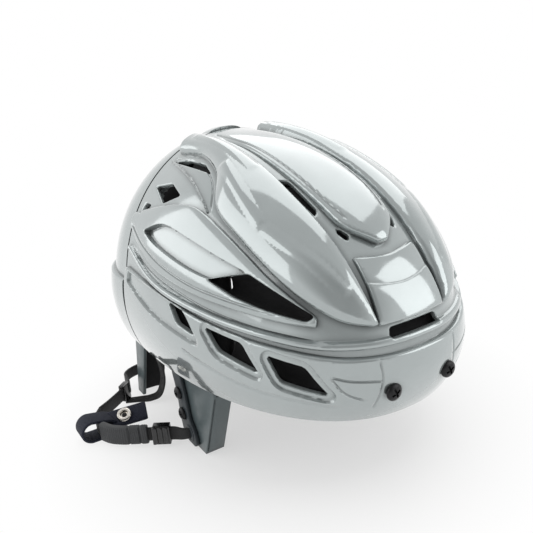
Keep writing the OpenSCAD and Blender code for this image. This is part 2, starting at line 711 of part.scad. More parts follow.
// A loop of wide webbing round the strap at the chin, with a flap that carries the snap socket.
module at_flap() {
    translate([-guard_x - 42, loop_y + 7, slot_z + 3])
        rotate([0, -8, -20])
            rotate([25, 0, 0]) children();
}
module snap_loop() {
    color(navy) {
        translate([-guard_x, loop_y + loop_w, slot_z])
            rotate([90, 0, 0])
                linear_extrude(loop_w)
                    difference() {
                        polygon(concat([for (a = [90 : 15 : 270]) loop_fold + 8.5 * [cos(a), sin(a)]],
                            [[-48, -9.25], [-38, 2], [-38, 6.8], [-47, 7.8]]));
                        polygon(concat([for (a = [90 : 15 : 270]) loop_fold + 6.3 * [cos(a), sin(a)]],
                            [[-49, -7], [-41.5, 3], [-48, 5.5]]));
                    }
        at_flap() translate([0, -loop_w / 2, 0]) cube([27, loop_w, 3.2]);
    }
}
module snap_socket() {
    color(steel)
        at_flap()
            translate([11, 0, 3.2])
                difference() {
                    cylinder(h = 2.2, r = 5.5, $fn = 40);
                    translate([0, 0, 0.8]) cylinder(h = 3, r = 2.6, $fn = 32);
                }
}
module small_buckle() {
    color(screw_black)
        translate([small_buckle_at[0], small_buckle_at[1], slot_z])
            rotate([0, 0, small_buckle_angle]) strap_block(8, 5, strap_w + 3);
}

front_shell();
rear_shell();
forehead_liner();
side_liner_right();
side_liner_left();
crown_liner();
rear_liner();
occipital_pad();
brow_screws();
brow_nuts();
ear_guard_right();
ear_guard_left();
ear_guard_screws();
strap_anchor_right();
strap_anchor_left();
anchor_screws();
nape_guard_right();
nape_guard_left();
nape_pad_right();
nape_pad_left();
nape_screws();
dial_housing();
fit_dial();
dial_screw();
chin_strap_right();
chin_strap_left();
slide_buckle();
small_buckle();
strap_tail();
chin_pad();
snap_loop();
snap_socket();
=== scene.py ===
# %% [markdown]
# # An ice hockey helmet
# The packed model gives every solid piece at its true place and size. This lesson dresses it:
# the two glossy shells, the foam inside, the guards, the screws, the fit dial and the chin strap.
# Lengths are worked out in millimetres, as on a drawing, and turned into metres when a mesh is made.

# %% Load the frame
import bpy
import bmesh
import math
import numpy as np
from mathutils import Vector, Matrix
from mathutils.bvhtree import BVHTree
from mathutils.kdtree import KDTree


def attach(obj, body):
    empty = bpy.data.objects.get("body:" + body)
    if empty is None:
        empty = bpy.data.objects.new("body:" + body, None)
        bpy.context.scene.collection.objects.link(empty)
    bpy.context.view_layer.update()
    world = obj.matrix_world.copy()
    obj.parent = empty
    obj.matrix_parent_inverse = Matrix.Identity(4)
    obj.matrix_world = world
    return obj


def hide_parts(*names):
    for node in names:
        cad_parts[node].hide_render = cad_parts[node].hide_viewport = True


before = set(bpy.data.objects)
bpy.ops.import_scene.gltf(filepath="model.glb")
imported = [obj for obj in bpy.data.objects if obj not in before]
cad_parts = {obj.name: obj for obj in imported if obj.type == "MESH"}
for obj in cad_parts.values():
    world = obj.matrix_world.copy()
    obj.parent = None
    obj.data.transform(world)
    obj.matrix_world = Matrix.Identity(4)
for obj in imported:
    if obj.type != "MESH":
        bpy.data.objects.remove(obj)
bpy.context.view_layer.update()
MM = 0.001

# %% [markdown]
# ## Camera
# The helmet is seen from its front right, a little above the brow, with a mild tilt. A camera could
# be turned by hand until it looks right. Here its three axes are worked out from the azimuth, the
# elevation and the roll, so each number means one thing, and two offsets shift the helmet in the
# picture without turning it.

# %% Camera
AZIMUTH, ELEVATION, ROLL = math.radians(-30.1), math.radians(20.4), math.radians(-4.7)
FOCAL_PX, IMAGE_PX, SENSOR = 700.0, 533.0, 36.0
DISTANCE, OFFSET_X, OFFSET_Y, AIM_HEIGHT = 485.9, 12.3, 8.3, 60.0


def camera_axes():
    """The camera's right, up and backward directions."""
    right = np.array([math.cos(AZIMUTH), math.sin(AZIMUTH), 0])
    back = np.array([math.sin(AZIMUTH) * math.cos(ELEVATION),
                     -math.cos(AZIMUTH) * math.cos(ELEVATION), math.sin(ELEVATION)])
    up = np.cross(back, right)
    c, s = math.cos(ROLL), math.sin(ROLL)
    return c * right + s * up, c * up - s * right, back


right, up, back = camera_axes()
place = (np.array([0, 0, AIM_HEIGHT]) - OFFSET_X * right - OFFSET_Y * up + DISTANCE * back) * MM
camera_data = bpy.data.cameras.new("camera")
camera_data.sensor_width = SENSOR
camera_data.lens = SENSOR * FOCAL_PX / IMAGE_PX
camera_data.clip_start, camera_data.clip_end = 0.02, 20
camera = bpy.data.objects.new("camera", camera_data)
camera.matrix_world = Matrix([[right[i], up[i], back[i], place[i]] for i in range(3)] + [[0, 0, 0, 1]])
bpy.context.scene.collection.objects.link(camera)
bpy.context.scene.camera = camera
bpy.context.scene.view_settings.view_transform = "Standard"
print("camera at", np.round(place, 3))

# %% [markdown]
# ## Writing shaders as sums
# A material is a small program of nodes. `Wire` wraps one output socket and gives it the ordinary
# signs of arithmetic, so that `1 - dust * 0.3` adds the Math nodes by itself. Placing and linking
# each node by hand would hide the sum in a long list of links.

# %% Shader arithmetic
class Wire:
    """An output socket that takes part in sums."""

    def __init__(self, finish, socket):
        self.finish, self.socket = finish, socket

    def math(self, operation, *values):
        return self.finish.node("ShaderNodeMath", {"operation": operation}, dict(enumerate(values)))

    def __add__(self, other):
        return self.math("ADD", self, other)

    def __sub__(self, other):
        return self.math("SUBTRACT", self, other)

    def __rsub__(self, other):
        return self.math("SUBTRACT", other, self)

    def __mul__(self, other):
        return self.math("MULTIPLY", self, other)

    def __pow__(self, other):
        return self.math("POWER", self, other)

    __radd__, __rmul__ = __add__, __mul__

    def sine(self):
        return self.math("SINE", self)

    def size(self):
        return self.math("ABSOLUTE", self)

    def spread(self, low, high):
        """0 below low, 1 above high, and a straight ramp between."""
        return self.finish.node("ShaderNodeMapRange", {}, {0: self, 1: low, 2: high})


print(Wire.__name__ + ":", Wire.__doc__)

# %% [markdown]
# Every piece has one Principled shader. What stays the same all over it is set straight on the
# shader's sockets, and only what varies is fed by nodes. That keeps the trees small. `node` makes
# any node, and `feed` joins a wire to the shader.

# %% One finish
class Finish:
    """A material with one surface shader, whose constant values are set on its own sockets."""

    def __init__(self, name, **constants):
        self.material = bpy.data.materials.new(name)
        self.material.use_nodes = True
        self.tree = self.material.node_tree
        self.surface = self.tree.nodes["Principled BSDF"]
        for key, value in constants.items():
            self.surface.inputs[key.replace("_", " ")].default_value = value

    def node(self, kind, settings, inputs, output=0):
        """Any node: its settings first, then the values or wires of its sockets."""
        made = self.tree.nodes.new(kind)
        for key, value in settings.items():
            setattr(made, key, value)
        for key, value in inputs.items():
            if isinstance(value, Wire):
                self.tree.links.new(value.socket, made.inputs[key])
            else:
                made.inputs[key].default_value = value
        return Wire(self, made.outputs[output])

    def feed(self, socket, wire):
        """Joins a wire to a socket of the surface shader."""
        self.tree.links.new(wire.socket, self.surface.inputs[socket])

    def coordinates(self, output="Object"):
        return self.node("ShaderNodeTexCoord", {}, {}, output)

    def noise(self, scale, detail=3.0, roughness=0.5):
        return self.node("ShaderNodeTexNoise", {}, {"Vector": self.coordinates(), "Scale": scale,
                                                    "Detail": detail, "Roughness": roughness})

    def mix(self, factor, a, b):
        return self.node("ShaderNodeMix", {"data_type": "RGBA"}, {0: factor, 6: a, 7: b}, 2)

    def part(self, vector, axis):
        return self.node("ShaderNodeSeparateXYZ", {}, {0: vector}, axis)

    def bump(self, height, distance, strength=1.0):
        self.feed("Normal", self.node("ShaderNodeBump", {},
                                      {"Height": height, "Distance": distance, "Strength": strength}))
        return self


def tint(color, by=1.0, plus=0.0):
    """A colour made darker or lighter, with the fourth value that colour sockets take."""
    return (*[min(1.0, c * by + plus) for c in color], 1.0)


print("a lighter grey:", tint((0.4, 0.4, 0.4), 1.06))

# %% [markdown]
# ## Finishes
# The shells are injection-moulded plastic under a clear coat: a cool grey, nearly mirror smooth, with
# faint swirls where a cloth has wiped them. Their grooves are painted darker, as painted shade where
# less light gets in. An Ambient Occlusion node with a reach of a few millimetres finds those places by
# itself, where a painted map would need a hand to draw it. The duller plastics of the guards, the
# anchors, the buckles and the pad are the same recipe with other amounts.

# %% Plastic finishes
GROOVE_REACH = 4 * MM


def wiped_plastic(name, color, roughness, coat, swirl, peel=0.00002, metal=0.0, groove_shade=0.6):
    """Moulded plastic: even colour with painted shade in its grooves, slightly uneven gloss, faint orange
    peel.
    """
    made = Finish(name, Coat_Weight=coat, Coat_Roughness=0.03, IOR=1.5, Metallic=metal)
    cloud = made.noise(18, detail=4, roughness=0.6)
    clean = made.mix(cloud.spread(0.3, 0.7), tint(color, 0.93), tint(color, 1.06))
    # Painted shade: the base colour is darker where the Ambient Occlusion value is low, in grooves and
    # corners.
    open_sky = made.node("ShaderNodeAmbientOcclusion", {"samples": 6}, {"Distance": GROOVE_REACH}, 1)
    made.feed("Base Color", made.mix(open_sky.spread(0.5, 0.97), tint(color, groove_shade), clean))
    wipe = made.noise(90, detail=2, roughness=0.7)
    made.feed("Roughness", wipe.spread(0.35, 0.75) * swirl + roughness)
    return made.bump(made.noise(700, detail=2), distance=peel, strength=0.5).material


shell_gloss = wiped_plastic("shell_gloss", (0.4, 0.44, 0.44), roughness=0.08, coat=1.0, swirl=0.08,
                            metal=0.5, groove_shade=0.3)
guard_plastic = wiped_plastic("guard_plastic", (0.085, 0.11, 0.115), roughness=0.3, coat=0.1, swirl=0.15)
anchor_plastic = wiped_plastic("anchor_plastic", (0.02, 0.028, 0.034), roughness=0.38, coat=0.0,
                               swirl=0.15)
gloss_black = wiped_plastic("gloss_black", (0.008, 0.008, 0.009), roughness=0.12, coat=0.4, swirl=0.1)
pad_plastic = wiped_plastic("pad_plastic", (0.04, 0.042, 0.045), roughness=0.5, coat=0.0, swirl=0.12,
                            peel=0.00006)
print("plastics:", shell_gloss.name, guard_plastic.name, anchor_plastic.name, gloss_black.name,
      pad_plastic.name)

# %% [markdown]
# The screws are steel under black paint, worn lighter in spots, the nuts behind the brow are bare
# steel, and the press stud is nickel. Metal takes its colour from what it mirrors, so these finishes
# are little more than a tint and a roughness, with the wear as one noise that feeds both.

# %% Metal finishes
def screw_finish(name, color, roughness, metallic):
    """Painted or plated metal with worn spots."""
    made = Finish(name, Metallic=metallic)
    worn = made.noise(900, roughness=0.6).spread(0.5, 0.75)
    made.feed("Base Color", made.mix(worn, tint(color), tint(color, by=1.6, plus=0.01)))
    made.feed("Roughness", worn * 0.15 + roughness)
    return made.bump(made.noise(1500, detail=2), distance=0.00001).material


black_screw = screw_finish("black_screw", (0.012, 0.012, 0.013), roughness=0.28, metallic=0.6)
nut_steel = screw_finish("nut_steel", (0.5, 0.5, 0.5), roughness=0.3, metallic=1.0)
nickel = screw_finish("nickel", (0.72, 0.68, 0.62), roughness=0.18, metallic=1.0)
print("metals:", black_screw.name, nut_steel.name, nickel.name)

# %% [markdown]
# Foam has closed cells less than a millimetre across, which break up the light. Webbing takes its
# pattern from the strip's own length and width, kept as a UV map in metres, so the threads follow
# every bend: one sine along, one across, and each thread goes over one and under the next.

# %% Soft finishes
def foam_finish(name, color):
    """Closed-cell foam: matt, pitted, and a little uneven in colour."""
    made = Finish(name, Roughness=0.9, Sheen_Weight=0.03)
    cells = made.node("ShaderNodeTexVoronoi", {}, {"Vector": made.coordinates(), "Scale": 1500.0})
    patch = made.noise(60)
    made.feed("Base Color", made.mix(patch, tint(color), tint(color, 1.7)))
    return made.bump(cells * 0.7 + patch * 0.5, distance=0.0003, strength=0.6).material


CROSS_STEP = 1.6


def webbing_finish(name, color, thread, roughness=0.6):
    """Woven strip, whose threads repeat at one thread's width along it and CROSS_STEP widths across."""
    made = Finish(name, Roughness=roughness, Sheen_Weight=0.04)
    uv = made.coordinates("UV")
    along = made.part(uv, 0) * (math.tau / thread)
    across = made.part(uv, 1) * (math.tau / (thread * CROSS_STEP))
    weave = along.sine() * across.sine()
    ridge = across.sine().size()
    fuzz = made.noise(2500, detail=2, roughness=0.7)
    made.feed("Base Color", made.mix(weave.spread(-0.8, 0.9), tint(color, 0.5), tint(color, 1.5)))
    return made.bump(weave * 0.6 + ridge * 0.5 + fuzz * 0.3, distance=0.00025, strength=0.8).material


foam_black = foam_finish("foam_black", (0.0035, 0.0035, 0.004))
webbing_black = webbing_finish("webbing_black", (0.009, 0.009, 0.01), thread=0.0011)
webbing_navy = webbing_finish("webbing_navy", (0.006, 0.009, 0.024), thread=0.0014, roughness=0.8)
print("soft:", foam_black.name, webbing_black.name, webbing_navy.name)

# %% [markdown]
# ## The shell as one surface
# The helmet's form is a dome about a short line in the middle of the head: rounder than a box, fuller
# than an ellipse. It could be sculpted, but two shells that slide over each other have to follow one
# exact surface, so it is a formula. A point is given by any guide point near the surface and a depth,
# which counts outward from the face of the panels. The front is half an oval 183 mm long, the rear
# 70 mm, with a straight part between, along which the rear shell slides.

# %% Shell surface
HALF_WIDTH, CROWN, WIDE = 100.5, 144.0, 33.0
FRONT_CENTRE, REAR_CENTRE, HALF_LENGTH = 45.0, 68.0, 138.0
FRONT_REACH, REAR_REACH, RISE = HALF_LENGTH + FRONT_CENTRE, HALF_LENGTH - REAR_CENTRE, CROWN - WIDE
PLAN_POWER, RIM_TAPER = 2.25, 0.06
MIDDLE = (FRONT_CENTRE + REAR_CENTRE) / 2


def power_sum(a, b):
    """The size of a point in plan: 1 on the outline, less inside it."""
    return (np.abs(a) ** PLAN_POWER + np.abs(b) ** PLAN_POWER) ** (1 / PLAN_POWER)


def on_shell(guide, depth):
    """The shell's points nearest to the guide points, at the depth."""
    guide = np.asarray(guide, float)
    x, y, z = guide[..., 0], guide[..., 1], guide[..., 2]
    p, h = x / HALF_WIDTH, (z - WIDE) / RISE
    q = np.where(y < FRONT_CENTRE, (y - FRONT_CENTRE) / FRONT_REACH,
                 np.where(y > REAR_CENTRE, (y - REAR_CENTRE) / REAR_REACH, 0))
    flat = np.maximum(power_sum(p, q), 1e-9)
    drop = (WIDE - z) / WIDE
    k = np.where(h > 0, 1 / np.maximum(np.hypot(flat, h), 1e-9), (1 - RIM_TAPER * drop * drop) / flat)
    new_y = np.where(q < 0, FRONT_CENTRE + (FRONT_REACH + depth) * k * q,
                     np.where(q > 0, REAR_CENTRE + (REAR_REACH + depth) * k * q, y))
    new_z = np.where(h > 0, WIDE + (RISE + depth) * k * h, z)
    return np.stack([(HALF_WIDTH + depth) * k * p, new_y, new_z], -1)


def smooth_at(stations, parts):
    """Catmull-Rom curve through the stations, at the parts 0 to 1 of its length."""
    pts = np.asarray(stations, float)
    n = len(pts) - 1
    ext = np.vstack([2 * pts[0] - pts[1], pts, 2 * pts[-1] - pts[-2]])
    f = np.clip(np.asarray(parts, float), 0, 1) * n
    i = np.minimum(f.astype(int), n - 1)
    w = (f - i)[..., None]
    a, b, c, d = ext[i], ext[i + 1], ext[i + 2], ext[i + 3]
    return b + 0.5 * w * (c - a + w * (2 * a - 5 * b + 4 * c - d + w * (3 * (b - c) + d - a)))


print("dome height:", float(on_shell([0, MIDDLE, 2 * CROWN], 0)[2]))

# %% [markdown]
# The raised panels are the helmet's face: a middle ridge, a lobe on each side of it, the leaf with its
# sunk middle, and the brow band. Each is drawn as two edge lines on the wearer's right side, and the
# left side mirrors them. Lines take few points, where a modelled panel would take hundreds, and they
# can be moved one point at a time.

# %% Panel lines
LOBE_HIGH = [(-24, 63, 143), (-24, 29, 144), (-26, -8, 140), (-27, -34, 133), (-28, -60, 123),
             (-27, -84, 110), (-26, -101, 98), (-25, -118, 79), (-23, -130, 60)]
LOBE_LOW = [(-45, 61, 137), (-42.5, 29, 138), (-49, -3, 130), (-62, -25, 113), (-63, -55, 99),
            (-59.5, -83, 84), (-53, -103, 73), (-41, -119, 63), (-26, -130, 59)]
RIDGE_EDGE = [(-16, 60, 143), (-19, 30, 143), (-20, 0, 140), (-21, -30, 132), (-21, -55, 124),
              (-20, -75, 115), (-17, -92, 105), (-4, -106, 96)]
SCOOP_LINE = [(-52, 61, 133), (-58, 20, 126), (-64, -6, 119), (-68, -22, 112)]
LEAF_TOP = [(-83, 60, 98), (-77, 38, 104), (-71, 13, 110), (-67, -8, 111), (-67, -30, 107),
            (-65, -60, 95), (-61, -84, 82), (-50, -110, 65)]
LEAF_LOW = [(-87, 60, 88), (-91, 40, 79), (-94, 13, 71), (-91, -19, 67), (-85, -47, 65),
            (-74, -79, 63), (-62, -99, 61), (-52, -111, 60)]
MIDDLE_LINE = [(-94, 56, 76), (-97, 9, 62), (-90, -47, 57), (-75, -90, 54), (-56, -116, 51),
               (-30, -131, 50), (0, -134, 50)]
BAND_HIGH = [(-97, 55, 62), (-97, 20, 60), (-95, -11, 57), (-89, -46, 53), (-80, -77, 50),
             (-65, -104, 47), (-46, -123, 44), (-24, -134, 43), (0, -138, 43)]
BROW_LOW = [(-24, -131, 59), (-12, -132, 59), (0, -133, 59)]
BROW_HIGH = [(-22, -118, 81), (-11, -122, 79), (0, -123, 78)]
CROWN_HIGH = [(-22, -108, 93), (-11, -111, 92), (0, -112, 91)]
REAR_BAND = [(-100, 48, 51.5), (-99, 71, 51.5), (-93, 92, 51.5), (-80, 112, 51.5), (-56, 129, 51.5),
             (-28, 137, 51.5), (0, 138, 51.5)]
REAR_RIDGE = [(-14, 66, 142), (-13, 84, 134), (-12, 100, 121), (-10, 114, 104), (-8, 122, 90)]


# %% [markdown]
# Most lines serve more than once: mirrored for the other side, lowered for the other edge of a rib, or
# carried over the middle in one piece, so that a panel has no seam at the brow.

# %% Using a line again
def mirrored(line):
    return [(-x, y, z) for x, y, z in line]


def lowered(line, by):
    return [(x, y, z - by) for x, y, z in line]


def at_rim(line):
    return [(x, y, -2) for x, y, z in line]


def whole(line):
    """The line of one side carried on over the middle to the other side."""
    return list(line) + mirrored(line)[-2::-1]


print("points in the whole band line:", len(whole(BAND_HIGH)))

# %% [markdown]
# A panel is a thin sheet that swells between its two edges. It never becomes a mesh in the picture. It
# is only asked two things: how high it is over a place, which a ray finds, and how far that place lies
# from its border, which the nearest mark on the border tells.

# %% A raised panel
VALLEY = -4.0
RAY_START, RAY_REACH, MARGIN = 12, 20, 6
OUTSIDE, FAR = -9.0, 99.0


def marks_on(points):
    """The points in a tree that finds the nearest one quickly."""
    marks = KDTree(len(points))
    for n, place in enumerate(points.tolist()):
        marks.insert(place, n)
    marks.balance()
    return marks


class Sheet:
    """A raised panel: a grid of points that swells between two edge lines, comes down over the last
    part of its length, taper, and is lower by sink at its start. Its edge is rounded over a width."""

    def __init__(self, first, second, mid, edge, taper=0.0, sink=0.0, edge_width=1.6, rows=150, cols=24):
        f = np.linspace(0, 1, rows)
        w = np.linspace(0, 1, cols)
        a, b = smooth_at(first, f), smooth_at(second, f)
        guide = a[:, None] + (b - a)[:, None] * w[None, :, None]
        ends = np.clip((1 - f) / taper, 0, 1) if taper else np.ones(rows)
        swell = (1 - np.abs(2 * w - 1) ** 3)[None] * np.sqrt(ends)[:, None]
        self.edge_width = edge_width
        self.points = on_shell(guide, edge + (mid - edge) * swell - sink * ((1 - f) ** 2)[:, None])
        flat = on_shell(guide, 0)
        self.border = np.vstack([flat[:, 0], flat[-1, 1:], flat[-2::-1, -1], flat[0, -2:0:-1]])
        rows_at = np.arange(rows - 1)[:, None] * cols + np.arange(cols - 1)[None]
        i = rows_at.ravel()
        quads = np.stack([i, i + 1, i + cols + 1, i + cols], -1)
        self.tree = BVHTree.FromPolygons(self.points.reshape(-1, 3).tolist(), quads.tolist())

    def over(self, guide):
        """The sheet's height at each guide point, and the distance inside its border, minus outside."""
        flat = on_shell(guide, 0)
        height, inside = np.full(len(guide), VALLEY), np.full(len(guide), OUTSIDE)
        low, high = self.border.min(0) - MARGIN, self.border.max(0) + MARGIN
        near = np.nonzero(((flat > low) & (flat < high)).all(1))[0]
        start, end = on_shell(guide[near], RAY_START), on_shell(guide[near], -RAY_START)
        span = np.linalg.norm(end - start, axis=1)
        way = (end - start) / span[:, None]
        loop = np.roll(self.border, -1, 0)
        marks = marks_on(np.concatenate([self.border + (loop - self.border) * t
                                         for t in (0, 0.25, 0.5, 0.75)]))
        for n, s, d, length, place in zip(near, start.tolist(), way.tolist(), span, flat[near].tolist()):
            distance = self.tree.ray_cast(s, d, RAY_REACH)[3]
            gap = marks.find(place)[2]
            inside[n] = -gap if distance is None else gap
            if distance is not None:
                height[n] = RAY_START - 2 * RAY_START * distance / length
        return height, inside


print("valley between the panels:", VALLEY)

# %% [markdown]
# Each panel is two edge lines, the depth along its middle and the depth along its edges. The lobes
# swell most, 3.5 mm above the band, and a rib is a narrow sheet along one line.

# %% The panels
def both_sheets(first, second, *swell, **shape):
    return [Sheet(first, second, *swell, **shape),
            Sheet(mirrored(first), mirrored(second), *swell, **shape)]


def rib(line, width, mid):
    """A narrow sheet along a line, on both sides of the helmet."""
    return both_sheets(lowered(line, -width / 2), lowered(line, width / 2), mid, VALLEY - 0.4, cols=12)


front_sheets = [
    Sheet(whole(CROWN_HIGH), whole(lowered(BROW_HIGH, 3)), -1.5, -2),
    Sheet(whole(BROW_HIGH), whole(BROW_LOW), -0.5, -1),
    *rib(SCOOP_LINE, 4, -1.5),
    Sheet(whole(lowered(MIDDLE_LINE, -3)), whole(lowered(MIDDLE_LINE, 3)), -1, VALLEY - 0.4,
          rows=400, cols=12),
    *both_sheets(LEAF_TOP, LEAF_LOW, 0, -1.2),
    Sheet(whole(BAND_HIGH), at_rim(whole(BAND_HIGH)), 0, -1, rows=400),
    *both_sheets(LOBE_HIGH, LOBE_LOW, 3.5, -1, taper=0.2),
    Sheet(mirrored(RIDGE_EDGE), RIDGE_EDGE, 2, 0, taper=0.06, sink=5)]
rear_sheets = [
    Sheet(whole(REAR_BAND), at_rim(whole(REAR_BAND)), 0, -1, rows=400),
    Sheet(mirrored(REAR_RIDGE), REAR_RIDGE, -1, -3, taper=0.06, sink=1)]
print("sheets:", len(front_sheets), "front,", len(rear_sheets), "rear")

# %% [markdown]
# A glossy form shows every facet, so the shell isn't assembled from those panels. It is one fine
# net over the dome. Along each panel's border the net is split, so that its edges follow the border
# exactly, and then the knots inside are raised to the panel with a rounded edge. A sculpted or
# displaced dome would need far more faces to show the same crisp borders.

# %% The net
RINGS, SPOKES, WIDE_RING, FIRST_RING = 170, 360, 0.84, 0.004


def outline_at(turn):
    """The shell's outline in plan at the angles, about its middle."""
    c, s = np.cos(turn), np.sin(turn)
    reach = np.where(s < 0, HALF_LENGTH + MIDDLE, HALF_LENGTH - MIDDLE)
    return np.stack([HALF_WIDTH * c, reach * s], -1) / power_sum(c, s)[:, None]


class Net:
    """A mesh over the dome: a guide point and a depth for each knot, and the faces, kept in arrays by
    their number of corners."""

    def __init__(self):
        ring = np.linspace(FIRST_RING, 1, RINGS)
        turn = np.linspace(0, math.tau, SPOKES, endpoint=False)
        outline = outline_at(turn)
        step = np.hypot(*(np.roll(outline, -1, 0) - outline).T)
        even = np.interp(np.linspace(0, step.sum(), SPOKES, endpoint=False),
                         np.concatenate([[0], np.cumsum(step)]), np.concatenate([turn, [math.tau]]))
        outline = outline_at(even)
        lean = np.minimum(ring / WIDE_RING, 1) * math.pi / 2
        z = np.where(ring < WIDE_RING, WIDE + RISE * np.cos(lean),
                     WIDE * (1 - (ring - WIDE_RING) / (1 - WIDE_RING)))
        plan = np.sin(lean)[:, None, None] * outline[None] + np.array([0, MIDDLE])
        level = np.broadcast_to(z[:, None, None], (RINGS, SPOKES, 1))
        self.guide = on_shell(np.concatenate([plan, level], -1).reshape(-1, 3), 0)
        self.depth = np.full(len(self.guide), VALLEY)
        i = np.arange(RINGS - 1)[:, None] * SPOKES
        j, k = np.arange(SPOKES)[None], (np.arange(SPOKES)[None] + 1) % SPOKES
        grid = np.stack([i + j, i + SPOKES + j, i + SPOKES + k, i + k], -1).reshape(-1, 4)
        self.faces = {4: grid, SPOKES: np.arange(SPOKES)[None]}

    def split(self, field, level):
        """Adds an edge through each face where the field crosses the level; returns the new field."""
        above = field > level
        crossed = []
        for corners, group in self.faces.items():
            sides = above[group]
            mixed = sides.any(1) & ~sides.all(1)
            crossed += group[mixed].tolist()
            self.faces[corners] = group[~mixed]
        if not crossed:
            return field
        cuts, made, halves = {}, [], {}
        count = len(self.guide)
        for face in crossed:
            high, low = [], []
            for here, after in zip(face, face[1:] + face[:1]):
                (high if above[here] else low).append(here)
                if above[here] != above[after]:
                    key = (min(here, after), max(here, after))
                    if key not in cuts:
                        cuts[key] = count + len(made)
                        part = (level - field[key[0]]) / (field[key[1]] - field[key[0]])
                        made.append((key[0], key[1], min(max(part, 0.001), 0.999)))
                    high.append(cuts[key])
                    low.append(cuts[key])
            for part in (high, low):
                if len(part) > 2:
                    halves.setdefault(len(part), []).append(part)
        for corners, group in halves.items():
            old = self.faces.get(corners, np.zeros((0, corners), int))
            self.faces[corners] = np.vstack([old, np.array(group)])
        first, second, part = (np.array(column) for column in zip(*made))
        mix = self.guide[first] + (self.guide[second] - self.guide[first]) * part[:, None]
        self.guide = np.vstack([self.guide, on_shell(mix, 0)])
        depth = self.depth[first] * (1 - part) + self.depth[second] * part
        self.depth = np.concatenate([self.depth, depth])
        return np.concatenate([field, np.full(len(made), float(level))])

    def raise_to(self, sheet):
        """Raises the knots inside the sheet's border, with a quarter round along its edge."""
        inside = sheet.over(self.guide)[1]
        for level in (0, 0.12 * sheet.edge_width, 0.5 * sheet.edge_width, sheet.edge_width):
            inside = self.split(inside, level)
        height = sheet.over(self.guide)[0]
        part = np.clip(inside / sheet.edge_width, 0, 1)
        top = VALLEY + (height - VALLEY) * np.sqrt(1 - (1 - part) ** 2)
        self.depth = np.where((inside > 0) & (height > VALLEY), np.maximum(self.depth, top), self.depth)

    def keep(self, test):
        """Keeps only the faces that pass a test on their arrays of knots."""
        self.faces = {corners: group[test(group)] for corners, group in self.faces.items()}


front_net, rear_net = Net(), Net()
print("knots in a plain net:", len(front_net.guide))

# %% [markdown]
# Raising is where the shape appears. A panel raises the surface only where it stands above what is
# there already. Each sheet splits the net four times near its border, so that the quarter round along
# the edge has faces of its own and catches a clean highlight.

# %% Raising the panels
for sheet in front_sheets:
    front_net.raise_to(sheet)
for sheet in rear_sheets:
    rear_net.raise_to(sheet)
print("knots:", len(front_net.guide), "front,", len(rear_net.guide), "rear")

# %% [markdown]
# ## Vents
# Vents let the heat out and take weight away. Each is an outline on the shell with rounded corners, and
# so is each sunk frame and recess. Boolean cutters could make them, but they leave long thin faces that
# spoil a glossy surface. The net is split along the outlines instead: recesses let the knots inside
# down, and vents drop the faces inside and turn the edge over a little.

# %% Vent outlines
WEDGE_VENT = [(-82, -44, 77), (-76, -58, 81), (-68, -70, 84), (-60, -92, 75), (-51, -109, 66),
              (-55, -107, 63), (-69, -88, 67), (-77, -66, 71)]
SIDE_VENTS = [
    [(-95, -10, 55), (-93, -28, 53), (-92, -38, 40), (-96, -20, 43)],
    [(-89, -47, 49), (-80, -75, 46), (-76, -86, 29), (-87, -58, 36)],
    [(-73, -90, 42), (-60, -109, 38), (-50, -118, 20), (-69, -97, 26)]]
CHANNEL_VENT = [(-27.2, -41, 127), (-21.8, -46, 127), (-21.8, -75, 114.5), (-25.5, -80, 112.5)]
TIP_VENT = [(-19, -90, 106), (-15, -97, 102), (-18, -100, 100), (-21, -94, 104)]
SCOOP_VENT = [(-52, 56, 132), (-47, 43, 135), (-46, 20, 135), (-50, 5, 132), (-51, 28, 132)]
HIGH_VENTS = [
    [(-68, 55, 115), (-63, 37, 119), (-67, 18, 115), (-74, 33, 108)],
    [(-77, 56, 105), (-77, 47, 105), (-82, 50, 98), (-82, 56, 98)]]
FRONT_VENT = [(-18, -133, 51), (-17, -133, 57), (17, -133, 57), (18, -133, 51)]
REAR_VENTS = [
    [(-60, 98, 96), (-46, 110, 96), (-50, 112, 84), (-66, 100, 84)],
    [(-34, 114, 100), (-16, 120, 100), (-17, 124, 88), (-38, 118, 88)],
    [(-72, 100, 70), (-58, 114, 70), (-60, 116, 60), (-74, 102, 60)],
    [(-44, 124, 74), (-24, 131, 74), (-24, 133, 64), (-46, 126, 64)]]
SIDE_RECESS_HIGH = [(-97, 49, 60), (-97, 20, 59), (-95, -10, 56.5), (-93, -28, 54), (-91.5, -42, 40)]
SIDE_RECESS_LOW = [(-98, 49, 52), (-99, 12, 41.5), (-96, -20, 37), (-93.5, -34, 35.5), (-92, -42, 35)]
LEAF_RECESS_HIGH = [(-86, 34, 90.5), (-82, 19, 97), (-80, 5, 98), (-78, -19, 95), (-74, -45, 90),
                    (-68, -70, 84.5)]
LEAF_RECESS_LOW = [(-87, 33, 89), (-88.5, 20, 86), (-88, 3, 83), (-86.5, -17, 80), (-84, -33, 78),
                   (-81.5, -45, 77)]


print("side vents:", len(SIDE_VENTS), "high vents:", len(HIGH_VENTS), "rear vents:", len(REAR_VENTS))

# %% [markdown]
# A vent is small beside the dome, so it is measured flat: from its middle, along two axes that lie in
# the surface there. Its corners become short curves, and the distance to its border is worked out for
# all knots at once.

# %% A rounded outline
INSIDE = np.array([0, 56.0, 20.0])
CORNER_REACH, SPARE_REACH, SAME_SIDE = 1.45, 8, -22


